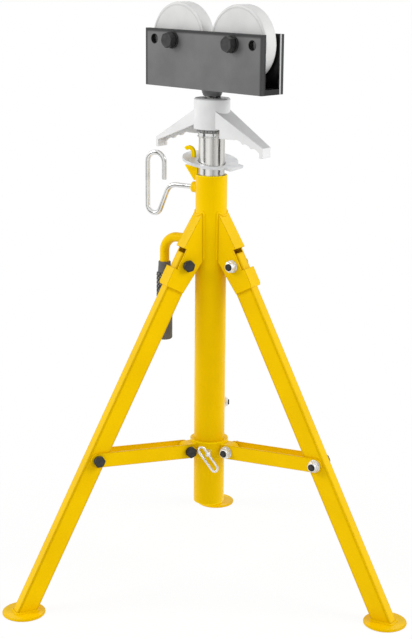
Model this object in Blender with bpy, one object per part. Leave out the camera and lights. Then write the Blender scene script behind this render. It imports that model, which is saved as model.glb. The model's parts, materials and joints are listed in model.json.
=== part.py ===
"""Pipe jack stand: a folding steel tripod, a sliding mast with a screw jack, and a two-roller head.

Metres, +Z up. The origin is on the floor, at the centre of the footprint's box.
The three legs stand at 210, 330 and 90 degrees round the column's axis.
"""

import math

import bmesh
import bpy
from mathutils import Matrix, Vector

# Gaps between pieces
SEAT_GAP = 0.0003
RUN_GAP = 0.0005
HOLE_CLEARANCE = 0.0002
OVERRUN = 0.010
MERGE_DISTANCE = 0.000001

# Column: the outer tube that everything hangs on, set out from the legs' pivots
COLUMN_DIAMETER = 0.0483
COLUMN_WALL = 0.0032
COLUMN_ABOVE_PIVOT = 0.135
COLUMN_BELOW_PIVOT = 0.392

# Legs: rectangular tubes hinged in welded brackets
LEG_AZIMUTHS = {"left": 210.0, "right": 330.0, "rear": 90.0}
LEG_SPREAD = math.radians(27.5)
LEG_DEPTH = 0.030
LEG_WIDTH = 0.020
LEG_WALL = 0.002
LEG_CORNER_RADIUS = 0.0025
LEG_PIVOT_RADIUS = 0.0465
LEG_PIVOT_HEIGHT = 0.522
LEG_END_ABOVE_PIVOT = 0.015
LEG_PIVOT_TO_BRACE = 0.327
FOOT_DIAMETER = 0.066
FOOT_THICKNESS = 0.004
FOOT_EDGE = 0.001

# Leg brackets: folded channels welded to the column, with a window for the leg's top end
BRACKET_SHEET = 0.003
BRACKET_ABOVE_PIVOT = 0.080
BRACKET_TOP_RADIUS = 0.0205
BRACKET_INNER_RADIUS = 0.012
BRACKET_INNER_EDGE_RADIUS = 0.021
BRACKET_INNER_EDGE_ABOVE_PIVOT = 0.004
WINDOW_ABOVE_PIVOT = 0.0215
WINDOW_WEB_STANDOFF = 0.018
WINDOW_EDGE_STANDOFF = 0.0125
STRAP_START_BELOW_PIVOT = 0.0115
STRAP_END_BELOW_PIVOT = 0.0385
STRAP_SHEET = 0.0035
BRACKET_END_BELOW_PIVOT = 0.0415
BRACKET_END_OUTER_STANDOFF = 0.0168
BRACKET_END_INNER_STANDOFF = 0.0125

# Collar: slides on the column and carries the braces' inner ends
COLLAR_WALL = 0.0055
COLLAR_HEIGHT = 0.027
COLLAR_TOP_ABOVE_BOLT = 0.0135
COLLAR_BOLT_RADIUS = 0.041
COLLAR_BOLT_BELOW_PIVOT = 0.2995
EAR_RADIUS = 0.0105

# Braces: pairs of flat bars from the collar to the legs
BRACE_DEPTH = 0.0225
BRACE_SHEET = 0.003

# M10 fasteners at the leg, brace and collar pivots
BOLT_DIAMETER = 0.010
BOLT_HEX = 0.016
BOLT_HEAD_HEIGHT = 0.0064
BOLT_WASHER_DIAMETER = 0.0195
BOLT_WASHER_HEIGHT = 0.0015
NUT_HEIGHT = 0.0085
THREAD_END = 0.0022
HEX_CHAMFER = 0.001

# Collar lock pin and its pull ring
LOCK_PIN_AZIMUTH = 270.0
LOCK_PIN_DIAMETER = 0.008
LOCK_PIN_LENGTH = 0.022
LOCK_PIN_EYE_RADIUS = 0.0415
PULL_RING_WIRE = 0.0032
PULL_RING_STRAIGHT = 0.034
PULL_RING_END_RADIUS = 0.0058
PULL_RING_TOP_REACH = 0.016
PULL_RING_LEAN = math.radians(35.0)
PULL_RING_SWING = math.radians(35.0)

# Mast: the inner tube, with locking holes down one side
MAST_DIAMETER = 0.040
MAST_WALL = 0.003
MAST_ABOVE_COLUMN = 0.0647
MAST_LENGTH = 0.560
MAST_HOLE_PITCH = 0.050
MAST_HOLE_COUNT = 9

# Height pin: a bent rod in a boss on the column
PIN_AZIMUTH = 150.0
PIN_BELOW_COLUMN_TOP = 0.022
PIN_DIAMETER = 0.008
PIN_FIRST_BEND_RADIUS = 0.0766
PIN_LOOP_OUTER_RADIUS = 0.118
PIN_LOOP_INNER_RADIUS = 0.0865
PIN_LOOP_DROP = 0.048
PIN_LOOP_RISE = 0.0475
PIN_SLOPE_RUN = 0.0203
PIN_END_ABOVE = 0.006
PIN_SHOULDER_BEND = 0.018
PIN_LOWER_BEND = 0.0125
PIN_UPPER_BEND = 0.0155
BOSS_DIAMETER = 0.017
BOSS_OUTER_RADIUS = 0.0330

# Jam plate: a round plate with a lever tab that bites on the mast when it tilts
JAM_ABOVE_COLUMN = 0.019
JAM_TILT = math.radians(10.0)
JAM_LOW_AZIMUTH = math.radians(-55.0)
JAM_THICKNESS = 0.0045
JAM_DISC_RADIUS = 0.043
JAM_TAB_AZIMUTH = math.radians(-34.6)
JAM_TAB_REACH = 0.0508
JAM_TAB_HALF_WIDTH = 0.0163
JAM_DISC_BACK = 0.0115
JAM_DISC_SIDE = 0.012
JAM_BORE = 0.0435
HOOK_AZIMUTH = 150.0
HOOK_SHEET = 0.005
HOOK_SLOT_SIDE = 0.0008
HOOK_INNER_RADIUS = 0.0295
HOOK_FINGER_WIDTH = 0.006
HOOK_CURL_RADIUS = 0.011
HOOK_CURL_ABOVE_JAM = 0.011
HOOK_CURL_SWEEP = math.radians(140.0)
GUSSET_ABOVE_COLUMN = 0.011
GUSSET_TOP_RADIUS = 0.048
GUSSET_BELOW_COLUMN_TOP = 0.0115
GUSSET_LOW_RADIUS = 0.031

# Carry handle with its grip
HANDLE_AZIMUTH = 150.0
HANDLE_ROD = 0.015
HANDLE_ABOVE_PIVOT = 0.031
HANDLE_REACH = 0.086
HANDLE_BEND = 0.024
HANDLE_DROP = 0.161
GRIP_BELOW_HANDLE = 0.041
GRIP_BEYOND_ROD = 0.006
GRIP_TOP_DIAMETER = 0.0195
GRIP_BODY_DIAMETER = 0.025
GRIP_TAPER_LENGTH = 0.045
GRIP_ROUNDING = 0.003

# Screw jack: the winged nut turns on the mast and drives the screw up
WASHER_DIAMETER = 0.046
WASHER_HEIGHT = 0.0047
HUB_DIAMETER = 0.055
HUB_HEIGHT = 0.0455
HUB_CHAMFER = 0.0015
WING_AZIMUTHS = (143.0, 323.0)
WING_ROOT_WIDTH = 0.037
WING_TIP_WIDTH = 0.019
WING_SHEET = 0.005
WING_ROOT_RADIUS = 0.016
WING_TIP_RADIUS = 0.104
WING_TIP_LENGTH = 0.006

# Heights on the wings, from the hub's bottom face
WING_ROOT_TOP = 0.0306
WING_TIP_TOP = -0.0206
WING_ROOT_BOTTOM = 0.0015
WING_TIP_BOTTOM = -0.0355
WING_FLAT_START_RADIUS = 0.0285
WING_FLAT_END_RADIUS = 0.054
WING_FLAT_BOTTOM = -0.0120
WING_GRIP_BOTTOM = -0.0285
WING_SHORT_ROOT_BOTTOM = 0.0113
WING_SHORT_TIP_BOTTOM = -0.0245
WING_SCALLOPS = 3
WING_SCALLOP_DEPTH = 0.003
SCALLOP_SHARES = (0.0, 0.25, 0.5, 0.75)

# Jack screw and the swivel that carries the head
SCREW_DIAMETER = 0.026
SCREW_LENGTH = 0.210
PIVOT_STUD_DIAMETER = 0.018
PIVOT_STUD_ABOVE_FLOOR = 0.0045
RETAINER_DIAMETER = 0.028
RETAINER_THICKNESS = 0.003
HEAD_BOSS_GAP = 0.0035
HEAD_BOSS_HEIGHT = 0.009
HEAD_BOSS_LOW_DIAMETER = 0.0285
HEAD_BOSS_TOP_DIAMETER = 0.033

# Roller head
HEAD_TURN = math.radians(-42.4)
CHANNEL_LENGTH = 0.243
CHANNEL_WIDTH = 0.046
CHANNEL_HEIGHT = 0.086
CHANNEL_SHEET = 0.008
AXLE_ABOVE_BOTTOM = 0.0705
AXLE_SPACING = 0.1245
OUTER_HOLE_SPACING = 0.204
OUTER_HOLE_DIAMETER = 0.014
ROLLER_DIAMETER = 0.112
ROLLER_WIDTH = 0.023
ROLLER_EDGE = 0.0015
BUSH_DIAMETER = 0.020
AXLE_DIAMETER = 0.014
AXLE_HEX = 0.021
AXLE_HEAD_HEIGHT = 0.011
AXLE_WASHER_DIAMETER = 0.026
AXLE_WASHER_HEIGHT = 0.0025
AXLE_NUT_HEIGHT = 0.011

# Numbers of facets
ROUND_FACETS = 48
MEDIUM_FACETS = 32
SMALL_FACETS = 16
BOLT_FACETS = 12
ARC_STEP = math.radians(15.0)
SMOOTH_ANGLE = math.radians(35.0)

# Places that follow from the sizes
COLUMN_RADIUS = COLUMN_DIAMETER / 2
COLUMN_SEAT_RADIUS = COLUMN_RADIUS + SEAT_GAP
COLUMN_TOP_HEIGHT = LEG_PIVOT_HEIGHT + COLUMN_ABOVE_PIVOT
COLUMN_BOTTOM_HEIGHT = LEG_PIVOT_HEIGHT - COLUMN_BELOW_PIVOT
BRACKET_TOP_HEIGHT = LEG_PIVOT_HEIGHT + BRACKET_ABOVE_PIVOT
BRACKET_INNER_EDGE_HEIGHT = LEG_PIVOT_HEIGHT + BRACKET_INNER_EDGE_ABOVE_PIVOT
COLLAR_BOLT_HEIGHT = LEG_PIVOT_HEIGHT - COLLAR_BOLT_BELOW_PIVOT
HANDLE_HEIGHT = LEG_PIVOT_HEIGHT + HANDLE_ABOVE_PIVOT
HANDLE_END_HEIGHT = HANDLE_HEIGHT - HANDLE_DROP
GRIP_TOP_HEIGHT = HANDLE_HEIGHT - GRIP_BELOW_HANDLE
GRIP_BOTTOM_HEIGHT = HANDLE_END_HEIGHT - GRIP_BEYOND_ROD
PIN_HEIGHT = COLUMN_TOP_HEIGHT - PIN_BELOW_COLUMN_TOP
JAM_HEIGHT = COLUMN_TOP_HEIGHT + JAM_ABOVE_COLUMN
HOOK_CURL_HEIGHT = JAM_HEIGHT + HOOK_CURL_ABOVE_JAM
GUSSET_TOP_HEIGHT = COLUMN_TOP_HEIGHT + GUSSET_ABOVE_COLUMN
GUSSET_LOW_HEIGHT = COLUMN_TOP_HEIGHT - GUSSET_BELOW_COLUMN_TOP
MAST_TOP_HEIGHT = COLUMN_TOP_HEIGHT + MAST_ABOVE_COLUMN
HUB_BOTTOM_HEIGHT = MAST_TOP_HEIGHT + WASHER_HEIGHT + 2 * SEAT_GAP
HUB_TOP_HEIGHT = HUB_BOTTOM_HEIGHT + HUB_HEIGHT
CHANNEL_BOTTOM_HEIGHT = HUB_TOP_HEIGHT + HEAD_BOSS_GAP + HEAD_BOSS_HEIGHT + SEAT_GAP
MAST_RADIUS = MAST_DIAMETER / 2
FOOT_CENTRE_RADIUS = LEG_PIVOT_RADIUS + LEG_PIVOT_HEIGHT * math.tan(LEG_SPREAD)
AXIS_Y = -FOOT_CENTRE_RADIUS / 4
LEG_SIDE = LEG_WIDTH / 2
BRACKET_SIDE = LEG_SIDE + RUN_GAP
BRACKET_OUTER_SIDE = BRACKET_SIDE + BRACKET_SHEET
BRACE_OUTER_SIDE = BRACKET_SIDE + BRACE_SHEET
CHANNEL_SIDE = CHANNEL_WIDTH / 2
CHANNEL_INNER_SIDE = CHANNEL_SIDE - CHANNEL_SHEET
FLOOR_TOP_HEIGHT = CHANNEL_BOTTOM_HEIGHT + CHANNEL_SHEET
AXLE_HEIGHT = CHANNEL_BOTTOM_HEIGHT + AXLE_ABOVE_BOTTOM
BRACE_BOLT_RADIUS = LEG_PIVOT_RADIUS + LEG_PIVOT_TO_BRACE * math.sin(LEG_SPREAD)
BRACE_BOLT_HEIGHT = LEG_PIVOT_HEIGHT - LEG_PIVOT_TO_BRACE * math.cos(LEG_SPREAD)
BRACE_LENGTH = math.hypot(BRACE_BOLT_RADIUS - COLLAR_BOLT_RADIUS, BRACE_BOLT_HEIGHT - COLLAR_BOLT_HEIGHT)
BRACE_RISE = math.atan2(BRACE_BOLT_HEIGHT - COLLAR_BOLT_HEIGHT, BRACE_BOLT_RADIUS - COLLAR_BOLT_RADIUS)


def paint(name, colour, roughness, metallic=0.0):
    """A plain Principled material."""
    material = bpy.data.materials.new(name)
    material.use_nodes = True
    shader = material.node_tree.nodes["Principled BSDF"]
    shader.inputs["Base Color"].default_value = (*colour, 1.0)
    shader.inputs["Roughness"].default_value = roughness
    shader.inputs["Metallic"].default_value = metallic
    material.diffuse_color = (*colour, 1.0)
    return material


def to_mesh(shape, name="shape"):
    """The finished mesh of a bmesh, its faces pointing out."""
    bmesh.ops.recalc_face_normals(shape, faces=shape.faces)
    mesh = bpy.data.meshes.new(name)
    shape.to_mesh(mesh)
    shape.free()
    return mesh


def prism(outline, low, high):
    """An XZ outline run along Y from low to high."""
    shape = bmesh.new()
    face = shape.faces.new([shape.verts.new((x, low, z)) for x, z in outline])
    grown = bmesh.ops.extrude_face_region(shape, geom=[face])
    moved = [item for item in grown["geom"] if isinstance(item, bmesh.types.BMVert)]
    bmesh.ops.translate(shape, vec=(0, high - low, 0), verts=moved)
    return shape


def turned(profile, facets):
    """A closed profile of radius and height pairs, turned round Z."""
    shape = bmesh.new()
    verts = [shape.verts.new((radius, 0, height)) for radius, height in profile]
    edges = [shape.edges.new((verts[i - 1], verts[i])) for i in range(len(verts))]
    bmesh.ops.spin(
        shape, geom=verts + edges, cent=(0, 0, 0), axis=(0, 0, 1), angle=math.tau, steps=facets,
        use_merge=True,
    )
    bmesh.ops.remove_doubles(shape, verts=shape.verts, dist=MERGE_DISTANCE)
    return shape


def tube(outer, inner, low, high, facets):
    """A plain tube on Z."""
    return turned([(inner, low), (outer, low), (outer, high), (inner, high)], facets)


def rod(radius, low, high, facets):
    """A solid round bar on Z."""
    shape = bmesh.new()
    bmesh.ops.create_cone(
        shape, cap_ends=True, segments=facets, radius1=radius, radius2=radius, depth=high - low
    )
    bmesh.ops.translate(shape, vec=(0, 0, (low + high) / 2), verts=shape.verts)
    return shape


def lay(shape, axis, place=(0, 0, 0)):
    """Turn a shape made on Z to lie along X or Y, then move it."""
    turn = {"X": Matrix.Rotation(math.pi / 2, 3, "Y"), "Y": Matrix.Rotation(-math.pi / 2, 3, "X")}[axis]
    bmesh.ops.rotate(shape, cent=(0, 0, 0), matrix=turn, verts=shape.verts)
    bmesh.ops.translate(shape, vec=place, verts=shape.verts)
    return shape


def round_ring(radius):
    """Points of a round section, in step with hex_ring."""
    turns = [math.tau * i / BOLT_FACETS for i in range(BOLT_FACETS)]
    return [(radius * math.cos(turn), radius * math.sin(turn)) for turn in turns]


def hex_ring(across_flats):
    """Points of a hexagon: its corners and the middles of its sides."""
    corner = across_flats / 2 / math.cos(math.pi / 6)
    points = []
    for i in range(BOLT_FACETS):
        reach = across_flats / 2 if i % 2 else corner
        turn = math.tau * i / BOLT_FACETS
        points.append((reach * math.cos(turn), reach * math.sin(turn)))
    return points


def stacked(rings, closed=False):
    """Rings of points and heights joined into a skin: capped at both ends, or closed into a loop."""
    shape = bmesh.new()
    rows = [[shape.verts.new((x, y, height)) for x, y in points] for points, height in rings]
    pairs = list(zip(rows, rows[1:]))
    if closed:
        pairs.append((rows[-1], rows[0]))
    for first, second in pairs:
        for i in range(BOLT_FACETS):
            shape.faces.new((first[i - 1], first[i], second[i], second[i - 1]))
    if not closed:
        shape.faces.new(list(reversed(rows[0])))
        shape.faces.new(rows[-1])
    return shape


def hex_bolt(diameter, across_flats, head_height, shank, washer_diameter, washer_height):
    """A bolt on Z: its head stands on a washer face at Z = 0 and its shank runs down."""
    radius = diameter / 2
    top = washer_height + head_height
    rings = [
        (round_ring(radius - HEX_CHAMFER), -shank),
        (round_ring(radius), HEX_CHAMFER - shank),
        (round_ring(radius), 0.0),
        (round_ring(washer_diameter / 2), 0.0),
        (round_ring(washer_diameter / 2), washer_height),
        (hex_ring(across_flats), washer_height),
        (hex_ring(across_flats), top - HEX_CHAMFER),
        (round_ring(across_flats / 2 - HEX_CHAMFER), top),
    ]
    return stacked(rings)


def hex_nut(diameter, across_flats, height, washer_diameter, washer_height):
    """A nut on its washer on Z, from 0 up, its bore just clear of the thread."""
    bore = round_ring(diameter / 2 + SEAT_GAP)
    washer = round_ring(washer_diameter / 2)
    top = washer_height + height
    rings = [
        (bore, 0.0),
        (washer, 0.0),
        (washer, washer_height),
        (hex_ring(across_flats), washer_height),
        (hex_ring(across_flats), top - HEX_CHAMFER),
        (round_ring(across_flats / 2), top),
        (bore, top),
    ]
    return stacked(rings, closed=True)


def combined(base, operation, tools):
    """A mesh with the tool shapes cut out of it or joined to it."""
    body = bpy.data.objects.new("body", base)
    bpy.context.collection.objects.link(body)
    helpers = []
    for tool in tools:
        helper = bpy.data.objects.new("tool", to_mesh(tool))
        bpy.context.collection.objects.link(helper)
        helper.hide_render = True
        helper.display_type = "WIRE"
        change = body.modifiers.new(operation.lower(), "BOOLEAN")
        change.operation = operation
        change.solver = "EXACT"
        change.object = helper
        helpers.append(helper)
    result = bpy.data.meshes.new_from_object(body.evaluated_get(bpy.context.evaluated_depsgraph_get()))
    for item in helpers + [body]:
        bpy.data.objects.remove(item, do_unlink=True)
    return result


def filleted(corners, radii):
    """A path through these corners with each inner corner rounded to its radius."""
    path = [Vector(corners[0])]
    for before, corner, after, radius in zip(corners, corners[1:], corners[2:], radii):
        arrive = (Vector(corner) - Vector(before)).normalized()
        leave = (Vector(after) - Vector(corner)).normalized()
        bend = arrive.angle(leave)
        start = Vector(corner) - arrive * radius * math.tan(bend / 2)
        inward = (leave - arrive * arrive.dot(leave)).normalized()
        centre = start + inward * radius
        steps = max(2, round(bend / ARC_STEP))
        for i in range(steps + 1):
            turn = bend * i / steps
            path.append(centre + radius * (arrive * math.sin(turn) - inward * math.cos(turn)))
    path.append(Vector(corners[-1]))
    return path


def swept(path, diameter, closed=False):
    """A round bar along a path."""
    curve = bpy.data.curves.new("path", "CURVE")
    curve.dimensions = "3D"
    curve.bevel_depth = diameter / 2
    curve.bevel_resolution = 3
    curve.use_fill_caps = True
    spline = curve.splines.new("POLY")
    spline.points.add(len(path) - 1)
    for point, place in zip(spline.points, path):
        point.co = (*place, 1.0)
    spline.use_cyclic_u = closed
    guide = bpy.data.objects.new("guide", curve)
    bpy.context.collection.objects.link(guide)
    mesh = bpy.data.meshes.new_from_object(guide.evaluated_get(bpy.context.evaluated_depsgraph_get()))
    bpy.data.objects.remove(guide, do_unlink=True)
    shape = bmesh.new()
    shape.from_mesh(mesh)
    bmesh.ops.remove_doubles(shape, verts=shape.verts, dist=MERGE_DISTANCE)
    return shape


def arc(centre, radius, start, end):
    """Points along an arc in a plane, both ends kept."""
    steps = max(2, round(abs(end - start) / ARC_STEP))
    turns = [start + (end - start) * i / steps for i in range(steps + 1)]
    return [(centre[0] + radius * math.cos(turn), centre[1] + radius * math.sin(turn)) for turn in turns]


def add(name, mesh, material, parent, place=(0.0, 0.0, 0.0), azimuth=0.0):
    """One named piece, set at a radius along its azimuth, a side offset and a height."""
    piece = bpy.data.objects.new(name, mesh)
    bpy.context.collection.objects.link(piece)
    piece.parent = parent
    radial, side, height = place
    turn = math.radians(azimuth)
    piece.location = (
        radial * math.cos(turn) - side * math.sin(turn),
        radial * math.sin(turn) + side * math.cos(turn),
        height,
    )
    piece.rotation_euler = (0.0, 0.0, turn)
    if not mesh.materials:
        mesh.materials.append(material)
    mesh.shade_smooth()
    mesh.set_sharp_from_angle(angle=SMOOTH_ANGLE)
    return piece


def frame_empty(name, parent=None, place=(0.0, 0.0, 0.0), azimuth=0.0):
    """An empty that carries pieces at one place and turn."""
    empty = bpy.data.objects.new(name, None)
    bpy.context.collection.objects.link(empty)
    empty.parent = parent
    empty.location = place
    empty.rotation_euler = (0.0, 0.0, math.radians(azimuth))
    return empty


def cross_bore(radius, place, side):
    """A cutter along Y for a bolt hole."""
    return lay(rod(radius, -side, side, SMALL_FACETS), "Y", place)


def column_cutter():
    """The column's outer surface and a seat gap, as a cutter on the stand's axis."""
    return rod(COLUMN_SEAT_RADIUS, -OVERRUN, COLUMN_TOP_HEIGHT + OVERRUN, ROUND_FACETS)


def column_mesh():
    """The column tube, with its lock pin hole and height pin hole."""
    inner = COLUMN_RADIUS - COLUMN_WALL
    base = to_mesh(tube(COLUMN_RADIUS, inner, COLUMN_BOTTOM_HEIGHT, COLUMN_TOP_HEIGHT, ROUND_FACETS))
    reach = COLUMN_RADIUS + OVERRUN
    cutters = []
    lock_radius = LOCK_PIN_DIAMETER / 2 + RUN_GAP
    pin_radius = PIN_DIAMETER / 2 + RUN_GAP
    holes = [
        (LOCK_PIN_AZIMUTH, COLLAR_BOLT_HEIGHT, lock_radius),
        (PIN_AZIMUTH, PIN_HEIGHT, pin_radius),
    ]
    for azimuth, height, radius in holes:
        hole = lay(rod(radius, 0.0, reach, SMALL_FACETS), "X", (0, 0, height))
        turn = Matrix.Rotation(math.radians(azimuth), 3, "Z")
        bmesh.ops.rotate(hole, cent=(0, 0, 0), matrix=turn, verts=hole.verts)
        cutters.append(hole)
    return combined(base, "DIFFERENCE", cutters)


def leg_point(below_pivot, standoff):
    """A point beside the leg's axis, as radius and height: down the leg, and outward from its axis."""
    radius = LEG_PIVOT_RADIUS + below_pivot * math.sin(LEG_SPREAD) + standoff * math.cos(LEG_SPREAD)
    height = LEG_PIVOT_HEIGHT - below_pivot * math.cos(LEG_SPREAD) + standoff * math.sin(LEG_SPREAD)
    return radius, height


def bracket_mesh():
    """A leg bracket: two side plates joined by the upper web and the lower strap."""
    top = (BRACKET_TOP_RADIUS, BRACKET_TOP_HEIGHT)
    web_end = leg_point(-WINDOW_ABOVE_PIVOT, WINDOW_WEB_STANDOFF)
    strap_standoff = LEG_DEPTH / 2 + RUN_GAP + STRAP_SHEET
    outline = [
        (BRACKET_INNER_RADIUS, BRACKET_TOP_HEIGHT),
        top,
        web_end,
        leg_point(-WINDOW_ABOVE_PIVOT, WINDOW_EDGE_STANDOFF),
        leg_point(STRAP_START_BELOW_PIVOT, WINDOW_EDGE_STANDOFF),
        leg_point(STRAP_START_BELOW_PIVOT, strap_standoff),
        leg_point(STRAP_END_BELOW_PIVOT, strap_standoff),
        leg_point(BRACKET_END_BELOW_PIVOT, BRACKET_END_OUTER_STANDOFF),
        leg_point(BRACKET_END_BELOW_PIVOT, -BRACKET_END_INNER_STANDOFF),
        (BRACKET_INNER_EDGE_RADIUS, BRACKET_INNER_EDGE_HEIGHT),
        (BRACKET_INNER_RADIUS, BRACKET_INNER_EDGE_HEIGHT),
    ]
    run = Vector((web_end[0] - top[0], web_end[1] - top[1])).normalized()
    inward = Vector((run.y, -run.x)) * BRACKET_SHEET
    web_top_inner = Vector(top) + inward - run * OVERRUN * 2
    web_end_inner = Vector(web_end) + inward
    strap_inner = LEG_DEPTH / 2 + RUN_GAP
    hollow = [
        (-BRACKET_INNER_RADIUS, web_top_inner.y),
        tuple(web_top_inner),
        tuple(web_end_inner),
        leg_point(STRAP_START_BELOW_PIVOT - OVERRUN, strap_inner),
        leg_point(BRACKET_END_BELOW_PIVOT + OVERRUN, strap_inner),
        leg_point(BRACKET_END_BELOW_PIVOT + OVERRUN, -LEG_DEPTH),
        (-BRACKET_INNER_RADIUS, BRACKET_INNER_EDGE_HEIGHT - LEG_DEPTH),
    ]
    base = to_mesh(prism(outline, -BRACKET_OUTER_SIDE, BRACKET_OUTER_SIDE))
    bolt_hole = cross_bore(
        BOLT_DIAMETER / 2 + HOLE_CLEARANCE,
        (LEG_PIVOT_RADIUS, 0, LEG_PIVOT_HEIGHT),
        BRACKET_OUTER_SIDE + OVERRUN,
    )
    room = prism(hollow, -BRACKET_SIDE, BRACKET_SIDE)
    return combined(base, "DIFFERENCE", [room, column_cutter(), bolt_hole])


def leg_section(half_depth, half_width, top, bottom_height, corner):
    """A straight bar along the leg's axis, its top cut square and its bottom cut level, about the pivot."""

    def level(standoff):
        below = (LEG_PIVOT_HEIGHT + standoff * math.sin(LEG_SPREAD) - bottom_height) / math.cos(LEG_SPREAD)
        return leg_point(below, standoff)

    corners = [leg_point(-top, half_depth), leg_point(-top, -half_depth)]
    corners += [level(-half_depth), level(half_depth)]
    outline = [(radius - LEG_PIVOT_RADIUS, height - LEG_PIVOT_HEIGHT) for radius, height in corners]
    shape = prism(outline, -half_width, half_width)
    if corner:
        long_edges = [edge for edge in shape.edges if edge.calc_length() > LEG_PIVOT_TO_BRACE]
        bmesh.ops.bevel(
            shape, geom=long_edges, offset=corner, segments=2, profile=0.5, affect="EDGES", material=-1
        )
    return shape


def leg_mesh():
    """A leg: a rectangular tube, open at the top and welded to its foot below."""
    bottom = FOOT_THICKNESS + SEAT_GAP
    outer = leg_section(LEG_DEPTH / 2, LEG_SIDE, LEG_END_ABOVE_PIVOT, bottom, LEG_CORNER_RADIUS)
    inner = leg_section(
        LEG_DEPTH / 2 - LEG_WALL, LEG_SIDE - LEG_WALL, LEG_END_ABOVE_PIVOT + OVERRUN, bottom - OVERRUN, 0.0
    )
    hole = BOLT_DIAMETER / 2 + HOLE_CLEARANCE
    brace_place = (BRACE_BOLT_RADIUS - LEG_PIVOT_RADIUS, 0, BRACE_BOLT_HEIGHT - LEG_PIVOT_HEIGHT)
    holes = [cross_bore(hole, (0, 0, 0), LEG_WIDTH), cross_bore(hole, brace_place, LEG_WIDTH)]
    return combined(to_mesh(outer), "DIFFERENCE", [inner] + holes)


def foot_mesh():
    """A flat round foot with a broken edge."""
    radius = FOOT_DIAMETER / 2
    profile = [
        (0.0, 0.0),
        (radius - FOOT_EDGE, 0.0),
        (radius, FOOT_EDGE),
        (radius, FOOT_THICKNESS - FOOT_EDGE),
        (radius - FOOT_EDGE, FOOT_THICKNESS),
        (0.0, FOOT_THICKNESS),
    ]
    return to_mesh(turned(profile, MEDIUM_FACETS))


def collar_mesh():
    """The sliding collar with its three ears, about the bolt circle's plane."""
    inner = COLUMN_RADIUS + RUN_GAP
    outer = inner + COLLAR_WALL
    top = COLLAR_TOP_ABOVE_BOLT
    ring = to_mesh(tube(outer, inner, top - COLLAR_HEIGHT, top, ROUND_FACETS))
    ears = []
    holes = []
    root = inner + COLLAR_WALL / 2
    reach = COLLAR_BOLT_RADIUS
    for azimuth in LEG_AZIMUTHS.values():
        nose = arc((reach, 0.0), EAR_RADIUS, -math.pi / 2, math.pi / 2)
        ear = prism([(root, -EAR_RADIUS)] + nose + [(root, EAR_RADIUS)], -LEG_SIDE, LEG_SIDE)
        hole = cross_bore(BOLT_DIAMETER / 2 + HOLE_CLEARANCE, (reach, 0, 0), LEG_WIDTH)
        turn = Matrix.Rotation(math.radians(azimuth), 3, "Z")
        for shape in (ear, hole):
            bmesh.ops.rotate(shape, cent=(0, 0, 0), matrix=turn, verts=shape.verts)
        ears.append(ear)
        holes.append(hole)
    pin_hole = lay(rod(LOCK_PIN_DIAMETER / 2 + HOLE_CLEARANCE, 0.0, outer + OVERRUN, SMALL_FACETS), "X")
    turn = Matrix.Rotation(math.radians(LOCK_PIN_AZIMUTH), 3, "Z")
    bmesh.ops.rotate(pin_hole, cent=(0, 0, 0), matrix=turn, verts=pin_hole.verts)
    joined = combined(ring, "UNION", ears)
    return combined(joined, "DIFFERENCE", holes + [pin_hole])


def brace_mesh():
    """A brace bar about its collar bolt: a flat bar with round ends and two bolt holes."""
    half = BRACE_DEPTH / 2
    inner_end = arc((0.0, 0.0), half, BRACE_RISE + math.pi / 2, BRACE_RISE + 3 * math.pi / 2)
    far = (BRACE_LENGTH * math.cos(BRACE_RISE), BRACE_LENGTH * math.sin(BRACE_RISE))
    outer_end = arc(far, half, BRACE_RISE - math.pi / 2, BRACE_RISE + math.pi / 2)
    bar = to_mesh(prism(inner_end + outer_end, 0.0, BRACE_SHEET))
    hole = BOLT_DIAMETER / 2 + HOLE_CLEARANCE
    return combined(
        bar,
        "DIFFERENCE",
        [cross_bore(hole, (0, 0, 0), LEG_WIDTH), cross_bore(hole, (far[0], 0, far[1]), LEG_WIDTH)],
    )


def bolt_through_mesh(side):
    """An M10 bolt across a joint whose outer faces are this far either side, its head on the +Y face."""
    face = side + SEAT_GAP
    shank = 2 * face + BOLT_WASHER_HEIGHT + NUT_HEIGHT + THREAD_END
    bolt = hex_bolt(
        BOLT_DIAMETER, BOLT_HEX, BOLT_HEAD_HEIGHT, shank, BOLT_WASHER_DIAMETER, BOLT_WASHER_HEIGHT
    )
    return to_mesh(lay(bolt, "Y", (0, face, 0)))


def nut_mesh(side):
    """The nut on the -Y face of such a joint."""
    nut = hex_nut(BOLT_DIAMETER, BOLT_HEX, NUT_HEIGHT, BOLT_WASHER_DIAMETER, BOLT_WASHER_HEIGHT)
    nut = lay(nut, "Y")
    bmesh.ops.rotate(nut, cent=(0, 0, 0), matrix=Matrix.Rotation(math.pi, 3, "Z"), verts=nut.verts)
    bmesh.ops.translate(nut, vec=(0, -side - SEAT_GAP, 0), verts=nut.verts)
    return to_mesh(nut)


def brace_bolt_mesh():
    """The head half of the brace bolt: its shank ends at the bar's inner face, clear of the leg."""
    shank = BRACE_SHEET + SEAT_GAP
    bolt = hex_bolt(
        BOLT_DIAMETER, BOLT_HEX, BOLT_HEAD_HEIGHT, shank, BOLT_WASHER_DIAMETER, BOLT_WASHER_HEIGHT
    )
    return to_mesh(lay(bolt, "Y", (0, BRACE_OUTER_SIDE + SEAT_GAP, 0)))


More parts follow.
